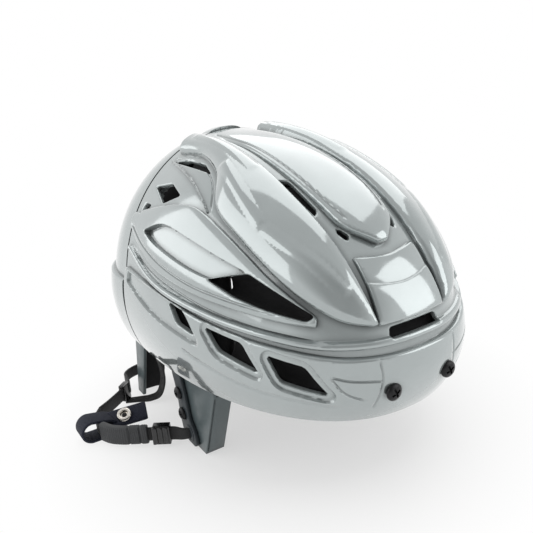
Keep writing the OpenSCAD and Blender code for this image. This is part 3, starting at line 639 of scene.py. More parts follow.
class Outline:
    """A rounded outline on the shell, seen flat from outside: its place, two axes and border."""

    def __init__(self, outline, corner, grow=0.0):
        corners = on_shell(outline, 0)
        self.middle = corners.mean(0)
        area = sum(np.cross(corners[i - 1] - self.middle, corners[i] - self.middle)
                   for i in range(len(corners)))
        self.normal = area / np.linalg.norm(area)
        if self.normal @ (self.middle - INSIDE) < 0:
            self.normal = -self.normal
        self.axis_a = np.cross([0.0, 0.0, 1.0], self.normal)
        self.axis_a /= np.linalg.norm(self.axis_a)
        self.axis_b = np.cross(self.normal, self.axis_a)
        self.border = self.rounded(self.flat(corners), corner)
        self.grow = grow

    def flat(self, points):
        offset = points - self.middle
        return np.stack([offset @ self.axis_a, offset @ self.axis_b], -1)

    @staticmethod
    def rounded(corners, radius, steps=7):
        """The outline with each corner replaced by a curve that starts radius before it."""
        made = []
        for i in range(len(corners)):
            here = corners[i]
            back, ahead = corners[i - 1] - here, corners[(i + 1) % len(corners)] - here
            back_length, ahead_length = np.linalg.norm(back), np.linalg.norm(ahead)
            reach = min(radius, 0.45 * back_length, 0.45 * ahead_length)
            start = here + back / back_length * reach
            end = here + ahead / ahead_length * reach
            made += [start * (1 - t) ** 2 + 2 * here * t * (1 - t) + end * t * t
                     for t in np.linspace(0, 1, steps)]
        return np.array(made)

    def outside(self, guide):
        """Distance of each guide point outside the border, minus inside; far for what isn't near."""
        reach = np.abs(self.border).max() * CORNER_REACH + SPARE_REACH
        near = np.linalg.norm(guide - self.middle, axis=1) < reach
        near &= (guide - self.middle) @ self.normal > SAME_SIDE
        rows = np.nonzero(near)[0]
        flat = self.flat(guide[rows])
        a, b = self.border, np.roll(self.border, -1, 0)
        edge = b - a
        t = ((flat[:, None] - a) * edge).sum(-1) / np.maximum((edge * edge).sum(-1), 1e-9)
        foot = a + np.clip(t, 0, 1)[..., None] * edge
        gap = np.linalg.norm(flat[:, None] - foot, axis=-1).min(1)
        slope = edge[:, 0] / np.where(edge[:, 1] == 0, 1e-9, edge[:, 1])
        crosses = ((a[:, 1] > flat[:, 1:]) != (b[:, 1] > flat[:, 1:])) & (
            flat[:, :1] < a[:, 0] + (flat[:, 1:] - a[:, 1]) * slope)
        distance = np.full(len(guide), FAR)
        distance[rows] = np.where(crosses.sum(1) % 2 == 1, -gap, gap) - self.grow
        return distance


print("one side vent is", *np.round(np.ptp(Outline(SIDE_VENTS[0], 2.5).border, 0), 1), "mm across")

# %% [markdown]
# The recesses are sunk frames: round the two front side vents, above the ear, and in the leaf. Each
# comes with the depth of its floor. The narrow vents have tight corners, the others softer ones.

# %% Vents and recesses
def both(outlines, corner, grow=0.0):
    return [Outline(o, corner, grow) for outline in outlines for o in (outline, mirrored(outline))]


def between(high, low, parts):
    """The outline between two smooth lines."""
    f = np.linspace(0, 1, parts)
    return [tuple(p) for p in smooth_at(high, f)] + [tuple(p) for p in smooth_at(low, f)[::-1]]


front_recesses = [(o, -1.8) for o in both(SIDE_VENTS[1:], 3.5, 4.5)]
front_recesses += [(o, -2.2) for o in both([between(SIDE_RECESS_HIGH, SIDE_RECESS_LOW, 24)], 2)]
front_recesses += [(o, VALLEY + 0.4)
                   for o in both([between(LEAF_RECESS_HIGH, LEAF_RECESS_LOW, 24)], 2)]
front_vents = (both([WEDGE_VENT], 2) + both(SIDE_VENTS, 2.5)
               + both([CHANNEL_VENT, TIP_VENT, SCOOP_VENT], 1.2) + both(HIGH_VENTS, 2)
               + [Outline(FRONT_VENT, 1.5)])
rear_vents = both(REAR_VENTS, 3) + both(HIGH_VENTS, 3)
print("vents:", len(front_vents), "front,", len(rear_vents), "rear,", len(front_recesses), "recesses")

# %% [markdown]
# Fine lines run over the panels: creases on the lobes, grooves along the band and the leaf, the edge
# of the flat plate round the brow screws, and a triangle beside it. They could be drawn in a bump map,
# but a groove half a millimetre deep shows in the outline of a reflection, so they are shape. A line
# knows how far a point lies to its left or right, so that the net can be split along it and beside it.
# It presses the surface in, or lifts it where the amount is negative, and fades out at its ends.

# %% A line on the panels
LINE_MARGIN = 5


class Line:
    """A smooth line on the shell, with a width, and the amount that it presses in."""

    def __init__(self, line, width, by, fade=4.0):
        self.middle = on_shell(smooth_at(line, np.linspace(0, 1, 260)), 0)
        self.ahead = np.gradient(self.middle, axis=0)
        self.ahead /= np.linalg.norm(self.ahead, axis=1)[:, None]
        side = np.cross(self.ahead, on_shell(self.middle, 1) - self.middle)
        self.side = side / np.linalg.norm(side, axis=1)[:, None]
        self.run = np.concatenate([[0], np.cumsum(np.linalg.norm(np.diff(self.middle, axis=0), axis=1))])
        self.width, self.by, self.fade = width, by, fade
        self.marks = marks_on(self.middle)

    def beside(self, guide):
        """For each guide point its distance to the right of the line, and its place along it."""
        across, run = np.full(len(guide), FAR), np.full(len(guide), OUTSIDE)
        reach = self.width + LINE_MARGIN
        low, high = self.middle.min(0) - reach, self.middle.max(0) + reach
        near = np.nonzero(((guide > low) & (guide < high)).all(1))[0]
        found = [self.marks.find(place)[1:] for place in guide[near].tolist()]
        index = np.array([n for n, _ in found], int)
        gap = np.array([d for _, d in found])
        offset = guide[near] - self.middle[index]
        good = gap < reach
        across[near[good]] = (offset * self.side[index]).sum(1)[good]
        run[near[good]] = (self.run[index] + (offset * self.ahead[index]).sum(1))[good]
        return across, run

    def press(self, net):
        """Lets the net down along the line, with a round floor and soft ends."""
        across = self.beside(net.guide)[0]
        for level in (-0.5, -0.2, 0, 0.2, 0.5):
            across = net.split(across, level * self.width)
        across, run = self.beside(net.guide)
        part = np.clip(1 - np.abs(across) / (0.5 * self.width), 0, 1)
        ends = np.clip(np.minimum(run, self.run[-1] - run) / self.fade, 0, 1)
        net.depth = net.depth - self.by * part * (2 - part) * ends * ends * (3 - 2 * ends)


print("length of the band's upper edge:", round(float(Line(BAND_HIGH, 1, 0).run[-1])))

# %% [markdown]
# Each entry is a line on the wearer's right side, its width and the amount it presses in. The grooves
# are narrow and sharp, and the creases of the lobes are wide and lift the surface to a soft edge.

# %% Grooves and creases
GROOVES = [
    ([(-94, 41, 73), (-95, 12, 67), (-91, -26, 62), (-86, -52, 59), (-75, -81, 56), (-63, -102, 54),
      (-49, -118, 51)], 2.0, 0.9),
    ([(-95, -24, 29), (-92, -38, 26), (-89, -51, 24), (-78, -78, 19), (-61, -105, 16), (-45, -120, 13)],
     2.6, 0.5),
    ([(-51, -119, 34), (-42, -126, 31), (-25, -134, 29)], 1.8, 0.8),
    ([(-51, -119, 34), (-44, -124, 23), (-33, -128, 17)], 1.8, 0.8),
    ([(-26.5, -132, 43), (-26.5, -133, 38), (-26, -134, 30), (-27, -134, 22), (-30, -131, 9)], 1.6, 0.6),
    ([(-88, 57, 92), (-93, 33, 84), (-94, 2, 77), (-90, -32, 72), (-80, -62, 69), (-64, -92, 65)],
     2.2, 0.9),
    ([(-14, 60, 144), (-16.5, 30, 146), (-17, 0, 144), (-17.5, -30, 136), (-17.5, -55, 127),
      (-16.5, -75, 117), (-13, -90, 107)], 1.8, 0.8),
    ([(-50, 61, 136), (-47, 29, 136), (-53, -3, 127), (-64, -20, 112)], 1.8, 0.7)]
CREASES = [
    ([(-42, -3, 131), (-46, -24, 124), (-50, -45, 115), (-52, -63, 105)], 9, -0.9),
    ([(-52, -63, 105), (-48, -80, 99), (-42, -96, 90), (-34, -113, 74)], 9, -0.7),
    ([(-31, 55, 142), (-31, 29, 143), (-32, 0, 139), (-34, -30, 131)], 9, -0.6)]
front_lines, front_creases = (
    [Line(line, width, by) for right, width, by in group for line in (right, mirrored(right))]
    for group in (GROOVES, CREASES))
print("lines:", len(front_lines), "grooves,", len(front_creases), "creases")

# %% [markdown]
# ## From the net to a wall
# The two shells part on a plane that leans back. A recess is let down with a soft foot, and a vent's
# edge turns over by less than a millimetre, as moulded plastic does where it leaves the mould.

# %% Cutting
SPLIT_FOOT, SPLIT_LEAN = 50.0, 19.5 / 150
LIP, LIP_DROP = 1.1, 0.8


def behind_split(guide, shift):
    """How far each guide point lies behind the plane between the shells, moved back by shift."""
    return guide[..., 1] - (SPLIT_FOOT + SPLIT_LEAN * np.maximum(guide[..., 2], 0)) - shift


def sink(net, outline, floor, width=1.0):
    """Lets the knots inside an outline down to a floor, with a rounded foot."""
    distance = outline.outside(net.guide)
    for level in (0, -0.5 * width, -width):
        distance = net.split(distance, level)
    fall = np.clip(-distance / width, 0, 1)
    fall = fall * fall * (3 - 2 * fall)
    low = np.minimum(net.depth, floor)
    net.depth = net.depth * (1 - fall) + low * fall


def pierce(net, outline):
    """Drops the faces inside an outline and turns the edge over."""
    distance = outline.outside(net.guide)
    for level in (LIP, 0.35 * LIP, 0):
        distance = net.split(distance, level)
    lip = np.clip(1 - distance / LIP, 0, 1)
    net.depth = net.depth - LIP_DROP * (1 - np.sqrt(1 - lip * lip))
    net.keep(lambda faces: (distance[faces] > 1e-6).any(1))


print("the seam leans back", round(math.degrees(math.atan(SPLIT_LEAN)), 1), "degrees")

# %% [markdown]
# A net is still arrays. Here points and faces become a Blender mesh, in metres, shaded smooth apart
# from edges sharper than an angle. `dress` says which body a piece rides on and which solids it stands
# for, and prints its size.

# %% From points to a piece
def shaded(made, angle=50):
    """Smooth shading, broken only at edges sharper than the angle."""
    made.data.shade_smooth()
    made.data.set_sharp_from_angle(angle=math.radians(angle))
    return made


def mesh_of(name, points, faces, material, sharp=50):
    """A smooth-shaded object from points in millimetres and faces."""
    mesh = bpy.data.meshes.new(name)
    mesh.from_pydata((np.asarray(points) * MM).tolist(), [], [tuple(int(n) for n in f) for f in faces])
    mesh.update()
    mesh.materials.append(material)
    made = bpy.data.objects.new(name, mesh)
    bpy.context.scene.collection.objects.link(made)
    return shaded(made, sharp)


def dress(piece, body, slot, *nodes):
    """Says what a piece rides on and the solids that it stands for, and prints its size. The slot is not
    used.
    """
    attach(piece, body)
    if nodes:
        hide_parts(*nodes)
    print(piece.name, "on", body, "in mm:", *[round(side / MM, 1) for side in piece.dimensions])
    return piece


print("pieces are made in metres, so a millimetre is", MM)

# %% [markdown]
# A shell is a closed wall, not a single skin, because its thickness shows in every vent. A Solidify
# modifier could thicken it, but along the normals, so that tight corners can fold over. Here the inner
# skin is the same net at another depth of the same formula, and the rim joins the two round every edge.

# %% The wall
WALL = 3.0


def wall(name, net, floor, material):
    """A closed wall: the net's faces, the same inside, and a rim round every edge."""
    used = np.unique(np.concatenate([group.ravel() for group in net.faces.values()]))
    number = np.full(len(net.guide), -1)
    number[used] = np.arange(len(used))
    faces = [tuple(face) for group in net.faces.values() for face in number[group].tolist()]
    outer = on_shell(net.guide[used], net.depth[used])
    inner = on_shell(net.guide[used], np.maximum(net.depth[used] - WALL, floor - WALL))
    first = outer[list(faces[0])]
    if np.cross(first[1] - first[0], first[2] - first[0]) @ (first[0] - INSIDE) < 0:
        faces = [f[::-1] for f in faces]
    count = len(outer)
    edges = {(a, b) for f in faces for a, b in zip(f, f[1:] + f[:1])}
    rim = [(b, a, a + count, b + count) for a, b in edges if (b, a) not in edges]
    backs = [tuple(n + count for n in f[::-1]) for f in faces]
    return mesh_of(name, np.vstack([outer, inner]), faces + backs + rim, material)


print("wall thickness:", WALL)

# %% [markdown]
# The front shell is worked from coarse to fine: the soft creases first, then the recesses and the fine
# grooves, and last the vents, whose rims turn over from the finished surface.

# %% The front shell
front_net.split(behind_split(front_net.guide, 0), 0)
front_net.keep(lambda faces: behind_split(front_net.guide[faces].mean(1), 0) < 0)
for crease in front_creases:
    crease.press(front_net)
for outline, floor in front_recesses:
    sink(front_net, outline, floor)
for groove in front_lines:
    groove.press(front_net)
for outline in front_vents:
    pierce(front_net, outline)
dress(wall("front_shell_skin", front_net, VALLEY, shell_gloss), "front", "shell", "front_shell")

# %% [markdown]
# The rear shell slides inside the front one to fit the head. Behind the seam it stands as high as its
# panels, and just behind the plane it steps down to a sleeve, which reaches 15 mm forward under the
# front shell. The step is a pair of splits three tenths of a millimetre apart.

# %% The rear shell
SLEEVE, SLEEVE_REACH, STEP_START, STEP_END = -7.6, 15, 1.5, 1.8

for shift in (STEP_START, STEP_END, -SLEEVE_REACH):
    rear_net.split(behind_split(rear_net.guide, shift), 0)
rear_net.keep(lambda faces: behind_split(rear_net.guide[faces].mean(1), -SLEEVE_REACH) > 0)
sleeve = behind_split(rear_net.guide, (STEP_START + STEP_END) / 2) < 0
rear_net.depth = np.where(sleeve, SLEEVE, rear_net.depth)
for outline in rear_vents:
    pierce(rear_net, outline)
dress(wall("rear_shell_skin", rear_net, SLEEVE, shell_gloss), "rear", "shell", "rear_shell")

# %% [markdown]
# ## Guards and fastenings
# Screws, buckles and the dial are made at the origin and then put in place with one matrix, which
# keeps their numbers short. The guards are drawn where they belong on the wearer's right, and the left
# ones are the same under a mirror matrix. Modifiers are applied at once, so that each piece ends as a
# plain mesh.

# %% Finishing and placing
RIGHT = Matrix.Identity(4)
LEFT = Matrix.Scale(-1, 4, (1, 0, 0))


def settled(made, *modifiers):
    """Applies modifiers, given as type and settings, one after the other."""
    for kind, settings in modifiers:
        modifier = made.modifiers.new(kind.lower(), kind)
        for key, value in settings.items():
            setattr(modifier, key, value)
        graph = bpy.context.evaluated_depsgraph_get()
        mesh = bpy.data.meshes.new_from_object(made.evaluated_get(graph))
        made.modifiers.clear()
        made.data = mesh
    return made


def placed(made, matrix):
    """Puts a matrix in millimetres into the mesh itself, and turns faces back after a mirror."""
    in_metres = matrix.copy()
    in_metres.translation = matrix.translation * MM
    made.data.transform(in_metres)
    if matrix.determinant() < 0:
        made.data.flip_normals()
    made.data.update()
    return made


def facing(x, y, z, direction):
    """Turns +z to a direction, at a place."""
    turn = Vector(direction).to_track_quat("Z", "Y").to_matrix().to_4x4()
    turn.translation = Vector((x, y, z))
    return turn


def joined(name, *parts):
    """One object from several, which keep their own materials."""
    if len(parts) > 1:
        with bpy.context.temp_override(active_object=parts[0], selected_editable_objects=list(parts),
                                       selected_objects=list(parts)):
            bpy.ops.object.join()
    parts[0].name = name
    return parts[0]


print("the mirror turns faces over:", LEFT.determinant() < 0)

# %% [markdown]
# What hangs below the rim is sheet plastic. A plate is an outline with rounded corners, given a
# thickness, and a small bevel, because real edges are never sharp and the bevel catches the light. A
# block is made the same way.

# %% Plates and blocks
BEVEL_STEPS = 3


def turned_out(made):
    """Makes the faces of a closed mesh look outward."""
    fixed = bmesh.new()
    fixed.from_mesh(made.data)
    bmesh.ops.recalc_face_normals(fixed, faces=fixed.faces)
    fixed.to_mesh(made.data)
    fixed.free()
    return made


def plate(name, outline, start, thickness, material, corner, bevel=0.6):
    """A plate drawn as [length, height] points with rounded corners; its outer face is at x = start."""
    flat = Outline.rounded(np.array(outline, float), corner, 6)
    count = len(flat)
    outer = [(start, a, b) for a, b in flat]
    inner = [(start + thickness, a, b) for a, b in flat]
    faces = [tuple(range(count)), tuple(range(2 * count - 1, count - 1, -1))]
    faces += [(i, i + count, (i + 1) % count + count, (i + 1) % count) for i in range(count)]
    made = turned_out(mesh_of(name, outer + inner, faces, material))
    settled(made, ("BEVEL", {"width": bevel * MM, "segments": BEVEL_STEPS,
                             "angle_limit": math.radians(40)}))
    return shaded(made)


def box_piece(name, size, material, bevel=0.5, at=(0, 0, 0)):
    """A block with rounded edges."""
    points = [[place + (side - 0.5) * length for place, side, length in zip(at, corner, size)]
              for corner in np.ndindex(2, 2, 2)]
    faces = [(0, 1, 3, 2), (4, 6, 7, 5), (0, 4, 5, 1), (2, 3, 7, 6), (0, 2, 6, 4), (1, 5, 7, 3)]
    made = mesh_of(name, points, faces, material)
    settled(made, ("BEVEL", {"width": bevel * MM, "segments": BEVEL_STEPS}))
    return shaded(made)


print("each edge is rounded in", BEVEL_STEPS, "steps")

# %% [markdown]
# Screw heads, the dial and the press stud are bodies of revolution: a profile turned about an axis, as
# on a lathe. A wave may change the radius with the angle, which gives the dial its finger scallops.
# Slots and bores are cut with the Boolean modifier, which is exact enough on pieces this small.

# %% Turned parts and cuts
ROUND_STEPS = 40


def turned(name, profile, material, steps=ROUND_STEPS, wave=None):
    """A body of revolution about z, from (radius, height) points; wave changes the radius by angle."""
    points, faces = [], []
    for radius, height in profile:
        for n in range(steps):
            angle = math.tau * n / steps
            r = radius * (wave(angle, radius) if wave else 1)
            points.append((r * math.cos(angle), r * math.sin(angle), height))
    for i in range(len(profile) - 1):
        for n in range(steps):
            k = (n + 1) % steps
            faces.append((i * steps + n, i * steps + k, (i + 1) * steps + k, (i + 1) * steps + n))
    last = (len(profile) - 1) * steps
    faces += [tuple(range(steps))[::-1], tuple(range(last, last + steps))]
    return turned_out(mesh_of(name, points, faces, material, sharp=35))


def cut_by(made, *tools):
    """Cuts other objects out of one and removes them."""
    for tool in tools:
        settled(made, ("BOOLEAN", {"operation": "DIFFERENCE", "object": tool, "solver": "EXACT"}))
        bpy.data.objects.remove(tool)
    return shaded(made, angle=40)


print(ROUND_STEPS, "steps miss a true circle by", f"{1 - math.cos(math.pi / ROUND_STEPS):.2%}")

# %% [markdown]
# Every screw is turned, with a domed head, and gets a cross recess from two crossed bars. The recess
# could be painted on, but its depth and its dark floor are what make it read as a screw. The places
# follow the plates that the screws hold, so those sizes are set here first.

# %% Screws
GUARD_X, GUARD_T, ANCHOR_T = 83.0, 2.5, 3.0
SLOT_Y, SLOT_Z, NAPE_X, NAPE_Y = 2.0, -50.55, 82.3, 81.5
ANCHOR_OUTSIDE = -GUARD_X - ANCHOR_T
BROW_PLACES = [(-20.1, -135, 21), (20.1, -135, 21)]
GUARD_PLACES, NAPE_PLACES = [(-20, 10), (8, 10)], [(NAPE_Y, 8), (NAPE_Y, 17)]
ANCHOR_PLACES = [(12, -23), (9, SLOT_Z + 12.5)]
RECESS_TURN = 0.4
# Head radius, head height, shank radius and shank length.
BROW_SCREW, GUARD_SCREW, ANCHOR_SCREW = (5.2, 2.8, 2, 13), (3.8, 2, 1.5, 7.5), (4.6, 2.9, 1.5, 8)
NAPE_SCREW, DIAL_SCREW = (3.4, 1.8, 1.5, 5), (5, 2, 1.5, 5)


def screw(head_r, head_h, shank, length):
    """A domed head with a cross recess, on a plain shank, pointing down from the origin."""
    dome = [(head_r * math.cos(a), head_h * (0.25 + 0.75 * math.sin(a)))
            for a in np.radians([0, 15, 32, 50, 68, 82])]
    foot = [(shank, -length), (shank, -0.01), (head_r * 0.97, 0), (head_r, head_h * 0.12)]
    made = turned("screw", foot + dome, black_screw)
    bars = [placed(box_piece("bar", (head_r * 1.15, head_r * 0.26, head_h * 1.1), black_screw, 0.12),
                   Matrix.Translation((0, 0, head_h)) @ Matrix.Rotation(a, 4, "Z"))
            for a in (RECESS_TURN, RECESS_TURN + math.pi / 2)]
    return cut_by(made, *bars)


def screws(name, body, node, size, places):
    """Equal screws at several places, as one piece."""
    made = [placed(screw(*size), place) for place in places]
    return dress(joined(name, *made), body, "black_screw", node)


def both_sides(x, places, way):
    """Matrices for places [y, z] at a distance x, facing along x, and for their mirror images."""
    return [side @ facing(x, y, z, (way, 0, 0)) for side in (RIGHT, LEFT) for y, z in places]


screws("brow_screw_pair", "front", "brow_screws", BROW_SCREW,
       [facing(*place, (0, -1, 0)) for place in BROW_PLACES])
screws("guard_screw_set", "front", "ear_guard_screws", GUARD_SCREW,
       both_sides(GUARD_T - GUARD_X, GUARD_PLACES, 1))
screws("anchor_screw_set", "front", "anchor_screws", ANCHOR_SCREW,
       both_sides(ANCHOR_OUTSIDE, ANCHOR_PLACES, -1))
screws("nape_screw_set", "rear", "nape_screws", NAPE_SCREW,
       both_sides(GUARD_T - NAPE_X, NAPE_PLACES, 1))

# %% [markdown]
# The ear guard is a plate with an inward flange along its front edge, which keeps the thin plastic
# stiff. The strap anchor is screwed on its outside and has a round slot with a raised ring, so that the
# webbing can turn in it without wearing.

# %% Ear guards and strap anchors
STAND = 60.0
GUARD = [(-22, 17), (14, 18), (13, -4), (11, -STAND), (-15, -STAND), (-38, -5), (-38, -1), (-22, -0.5)]
FLANGE = [(-38, -5), (-15, -STAND), (-12.4, -STAND), (-35.4, -5)]
ANCHOR = [(9, -2), (14, -1), (20, -4), (21, -10), (18, -18), (16, -30), (15, SLOT_Z + 6.5),
          (12, SLOT_Z - 4.5), (6, SLOT_Z - 8), (-5, SLOT_Z - 8), (-8, SLOT_Z - 4.5), (-6, SLOT_Z + 3.5),
          (1, SLOT_Z + 12.5), (3, -26), (6, -14)]
SLOT_RING = [(4.42, -0.2), (6.2, -0.2), (6.2, 0.25), (5.8, 0.5), (4.9, 0.5), (4.42, 0.1)]
GUARD_HOLE, ANCHOR_HOLE, HOLE_REACH = 5, 4.4, 12
FLANGE_IN, EAR_FLANGE_W, NAPE_FLANGE_W = 0.1, 13.9, 21.9


def at_slot(made, x):
    """Puts a part that was turned about z at the strap's slot."""
    return placed(made, facing(x, SLOT_Y, SLOT_Z, (-1, 0, 0)))


def hole(radius, x):
    """A round tool that cuts the strap's slot."""
    return at_slot(turned("hole", [(radius, -HOLE_REACH), (radius, HOLE_REACH)], anchor_plastic), x)


for side, matrix in (("right", RIGHT), ("left", LEFT)):
    panel = plate("guard", GUARD, -GUARD_X, GUARD_T, guard_plastic, corner=3)
    flange = plate("flange", FLANGE, -GUARD_X + FLANGE_IN, EAR_FLANGE_W, guard_plastic, corner=0.9,
                   bevel=0.5)
    guard = joined(f"ear_guard_{side}_form", cut_by(panel, hole(GUARD_HOLE, -GUARD_X)), flange)
    dress(placed(guard, matrix), "front", "guard", f"ear_guard_{side}")
    base = plate("anchor", ANCHOR, ANCHOR_OUTSIDE, ANCHOR_T, anchor_plastic, corner=3, bevel=0.7)
    ring = at_slot(turned("ring", SLOT_RING, anchor_plastic), ANCHOR_OUTSIDE)
    anchor = joined(f"strap_anchor_{side}_form", cut_by(base, hole(ANCHOR_HOLE, ANCHOR_OUTSIDE)), ring)
    dress(placed(anchor, matrix), "front", "anchor", f"strap_anchor_{side}")

# %% [markdown]
# ## Straps
# Webbing is swept along a smooth line. A curve object with a bevel could do it, but it can twist, and
# where it gets narrower it gets thinner too. So the line is worked out first: where it runs, how wide
# the strip is there, and which ways are wide and thick.

# %% The line of a strip
def strip_line(stations, steps, wide, closed):
    """Along a strip: places, widths, the wide and the thick direction, and the length so far."""
    stations = np.asarray(stations, float)
    if closed:
        stations = np.vstack([stations, stations[:1]])
    line = smooth_at(stations, np.linspace(0, 1, (len(stations) - 1) * steps + 1))
    if closed:
        line = line[:-1]
    place, width = line[:, :3], line[:, 3]
    if closed:
        ahead = np.roll(place, -1, 0) - np.roll(place, 1, 0)
    else:
        ahead = np.gradient(place, axis=0)
    ahead /= np.linalg.norm(ahead, axis=1)[:, None]
    thick = np.cross(ahead, np.broadcast_to(np.asarray(wide, float), place.shape))
    thick /= np.linalg.norm(thick, axis=1)[:, None]
    run = np.concatenate([[0], np.cumsum(np.linalg.norm(np.diff(place, axis=0), axis=1))])
    return place, width, np.cross(thick, ahead), thick, run


bend = strip_line([(0, 0, 0, 10), (40, 0, 0, 10), (40, 30, 0, 10)], 8, (0, 0, 1), False)
print("a bend through three places is", round(float(bend[-1][-1]), 1), "mm long")

# %% [markdown]
# Along that line goes a flat section whose edges are rounded, four points to each corner. A UV map
# counts metres along and across the strip, so that the weave keeps its size in every bend.

# %% Sweeping a strip
ROUND = [(np.cos(t), np.sin(t)) for t in np.radians([0, 30, 60, 90])]
SECTION = [(sx, sy, a, b) for sx, sy in ((1, 1), (-1, 1), (-1, -1), (1, -1))
           for a, b in (ROUND if sx * sy > 0 else ROUND[::-1])]
SIZE = len(SECTION)


def strip_map(made, run, across):
    """Writes metres along and across the strip as its UV map."""
    layer = made.data.uv_layers.new(name="strip")
    for face in made.data.polygons:
        rows_here = {n // SIZE for n in face.vertices}
        wraps = max(rows_here) - min(rows_here) > 1
        for loop, n in zip(face.loop_indices, face.vertices):
            along = run[n // SIZE] + (run[-1] if wraps and n < SIZE else 0)
            layer.data[loop].uv = (along * MM, across[n] * MM)
    return made


def sweep(name, stations, thickness, material, wide=(0, 0, 1), steps=8, corner=0.45, closed=False,
          shape=None):
    """A strip through [x, y, z, width] stations; shape changes the thickness along it."""
    place, width, wide, thick, run = strip_line(stations, steps, wide, closed)
    c = corner * thickness
    points, across = [], []
    for n in range(len(place)):
        half_t = thickness / 2 * (shape(run[n], run[-1]) if shape else 1)
        half_w = width[n] / 2
        for sx, sy, a, b in SECTION:
            u = sx * (half_w - c) + sx * a * c
            v = sy * (half_t - min(c, half_t)) + sy * b * min(c, half_t)
            points.append(place[n] + wide[n] * u + thick[n] * v)
            across.append(u)
    rows = len(place)
    faces = [(i * SIZE + j, i * SIZE + (j + 1) % SIZE, (i + 1) % rows * SIZE + (j + 1) % SIZE,
              (i + 1) % rows * SIZE + j) for i in range(rows if closed else rows - 1) for j in range(SIZE)]
    if not closed:
        faces += [tuple(range(SIZE))[::-1], tuple(range((rows - 1) * SIZE, rows * SIZE))]
    return strip_map(turned_out(mesh_of(name, points, faces, material, sharp=60)), run, across)


print("points round the section:", SIZE)

# %% [markdown]
# The chin strap leaves the right anchor, carries the slide buckle and the ribbed pad, bends at the
# chin, and goes through the small buckle into the helmet and on to the left anchor. It is two pieces
# that meet at the bend. Each end narrows to pass the round slot and has a collar behind the anchor, so
# that the strap can swing. Places on its straight part are one length along it, so a buckle can be
# moved with one number.

# %% Places along the strap
STRAP_AT, STRAP_ANGLE, STRAP_W = np.array([-GUARD_X - 7, 6.0]), math.radians(146), 10.5
STRAP_WAY = np.array([math.cos(STRAP_ANGLE), math.sin(STRAP_ANGLE)])
CHIN_BEND = [(48, 36), (51.5, 44), (52, 52), (50, 60), (45, 67)]
WEB_T, COLLAR_GAP = 2.0, 2.8
COLLAR = [(4.3, 0), (5.9, 0), (5.9, 3), (4.3, 3)]
SMALL_BUCKLE, SMALL_ANGLE = np.array([-GUARD_X - 18.5, 86.0]), math.radians(39.6)


def station(place, width=STRAP_W):
    """A station of the strap at a place [x, y], at the height of the slots."""
    return [place[0], place[1], SLOT_Z, width]


def strap_at(s, width=STRAP_W):
    """The station at a length along the straight part."""
    return station(STRAP_AT + s * STRAP_WAY, width)


def outward(place, width=STRAP_W):
    """The station at a place given as [distance outside the guard, y]."""
    return station((-GUARD_X - place[0], place[1]), width)


def small_end(s):
    """The station at a length from the middle of the small buckle."""
    return station(SMALL_BUCKLE + s * np.array([math.cos(SMALL_ANGLE), math.sin(SMALL_ANGLE)]))


def collar(x, way):
    """The ring that keeps a strap's end from slipping out of its anchor."""
    ring = turned("collar", COLLAR, webbing_black)
    return placed(ring, facing(x, SLOT_Y, SLOT_Z, (way, 0, 0)))


print("the strap's straight starts at", STRAP_AT.tolist())

# %% [markdown]
# The right piece is short and straight, up to the bend at the chin.

# %% Right chin strap
right_strap = sweep("chin_strap_right_web",
                    [[-GUARD_X + 4.5, SLOT_Y, SLOT_Z, 7.6], [-GUARD_X - 1, SLOT_Y, SLOT_Z, 7.8],
                     [-GUARD_X - 4.5, 2.6, SLOT_Z, 8.2], [-GUARD_X - 8, 5, SLOT_Z, 9.4], strap_at(6),
                     strap_at(20), strap_at(42), *[outward(p) for p in CHIN_BEND[:4]], outward((44.8, 67.2))],
                    WEB_T, webbing_black)
dress(joined("chin_strap_right_web", right_strap, collar(COLLAR_GAP - GUARD_X, 1)), "strap", "webbing",
      "chin_strap_right")

# %% [markdown]
# The left piece goes on from the bend, through the small buckle, and then up and over inside the
# helmet, where the shell hides it. There its numbers are the part of the guards' distance, y, the
# height above the slots and the width. A round stem takes it through the left anchor.

# %% Left chin strap
INSIDE_WAY = [(-0.89, 111.2, 2.5, 9), (-0.72, 109.4, 6.5, 9), (-0.55, 94, 18.5, 9),
              (-0.41, 68, 30.5, 10), (-0.17, 42, 34.5, 10), (0.17, 22, 32.5, 10),
              (0.5, 10, 20.5, 10), (0.75, 5, 8.5, 9)]
STEM = [(4.2, -3), (4.34, -2.4), (4.34, 6)]
left_strap = sweep("left", [outward((44.6, 67.6)), outward((35, 73.5)), small_end(-7), small_end(6),
                            [-GUARD_X - 11.6, 98, SLOT_Z + 1, 9], [-GUARD_X - 10.4, 105, SLOT_Z + 1, 9],
                            [-GUARD_X - 4, 110.2, SLOT_Z + 1, 9],
                            *[[GUARD_X * a, b, SLOT_Z + c, w] for a, b, c, w in INSIDE_WAY],
                            [GUARD_X - 8, 3, SLOT_Z, 8], [GUARD_X - 3, SLOT_Y, SLOT_Z, 7.6],
                            [GUARD_X + 2.6, SLOT_Y, SLOT_Z, 7.6]], WEB_T, webbing_black)
stem = at_slot(turned("stem", STEM, webbing_black), GUARD_X + 1)
dress(joined("chin_strap_left_web", left_strap, collar(GUARD_X - COLLAR_GAP, -1), stem), "strap",
      "webbing", "chin_strap_left")

# %% [markdown]
# Past the small buckle the spare webbing runs up into the helmet. Its numbers are x from the guard, the
# height, the distance forward and the width, and its wide way is front to back.

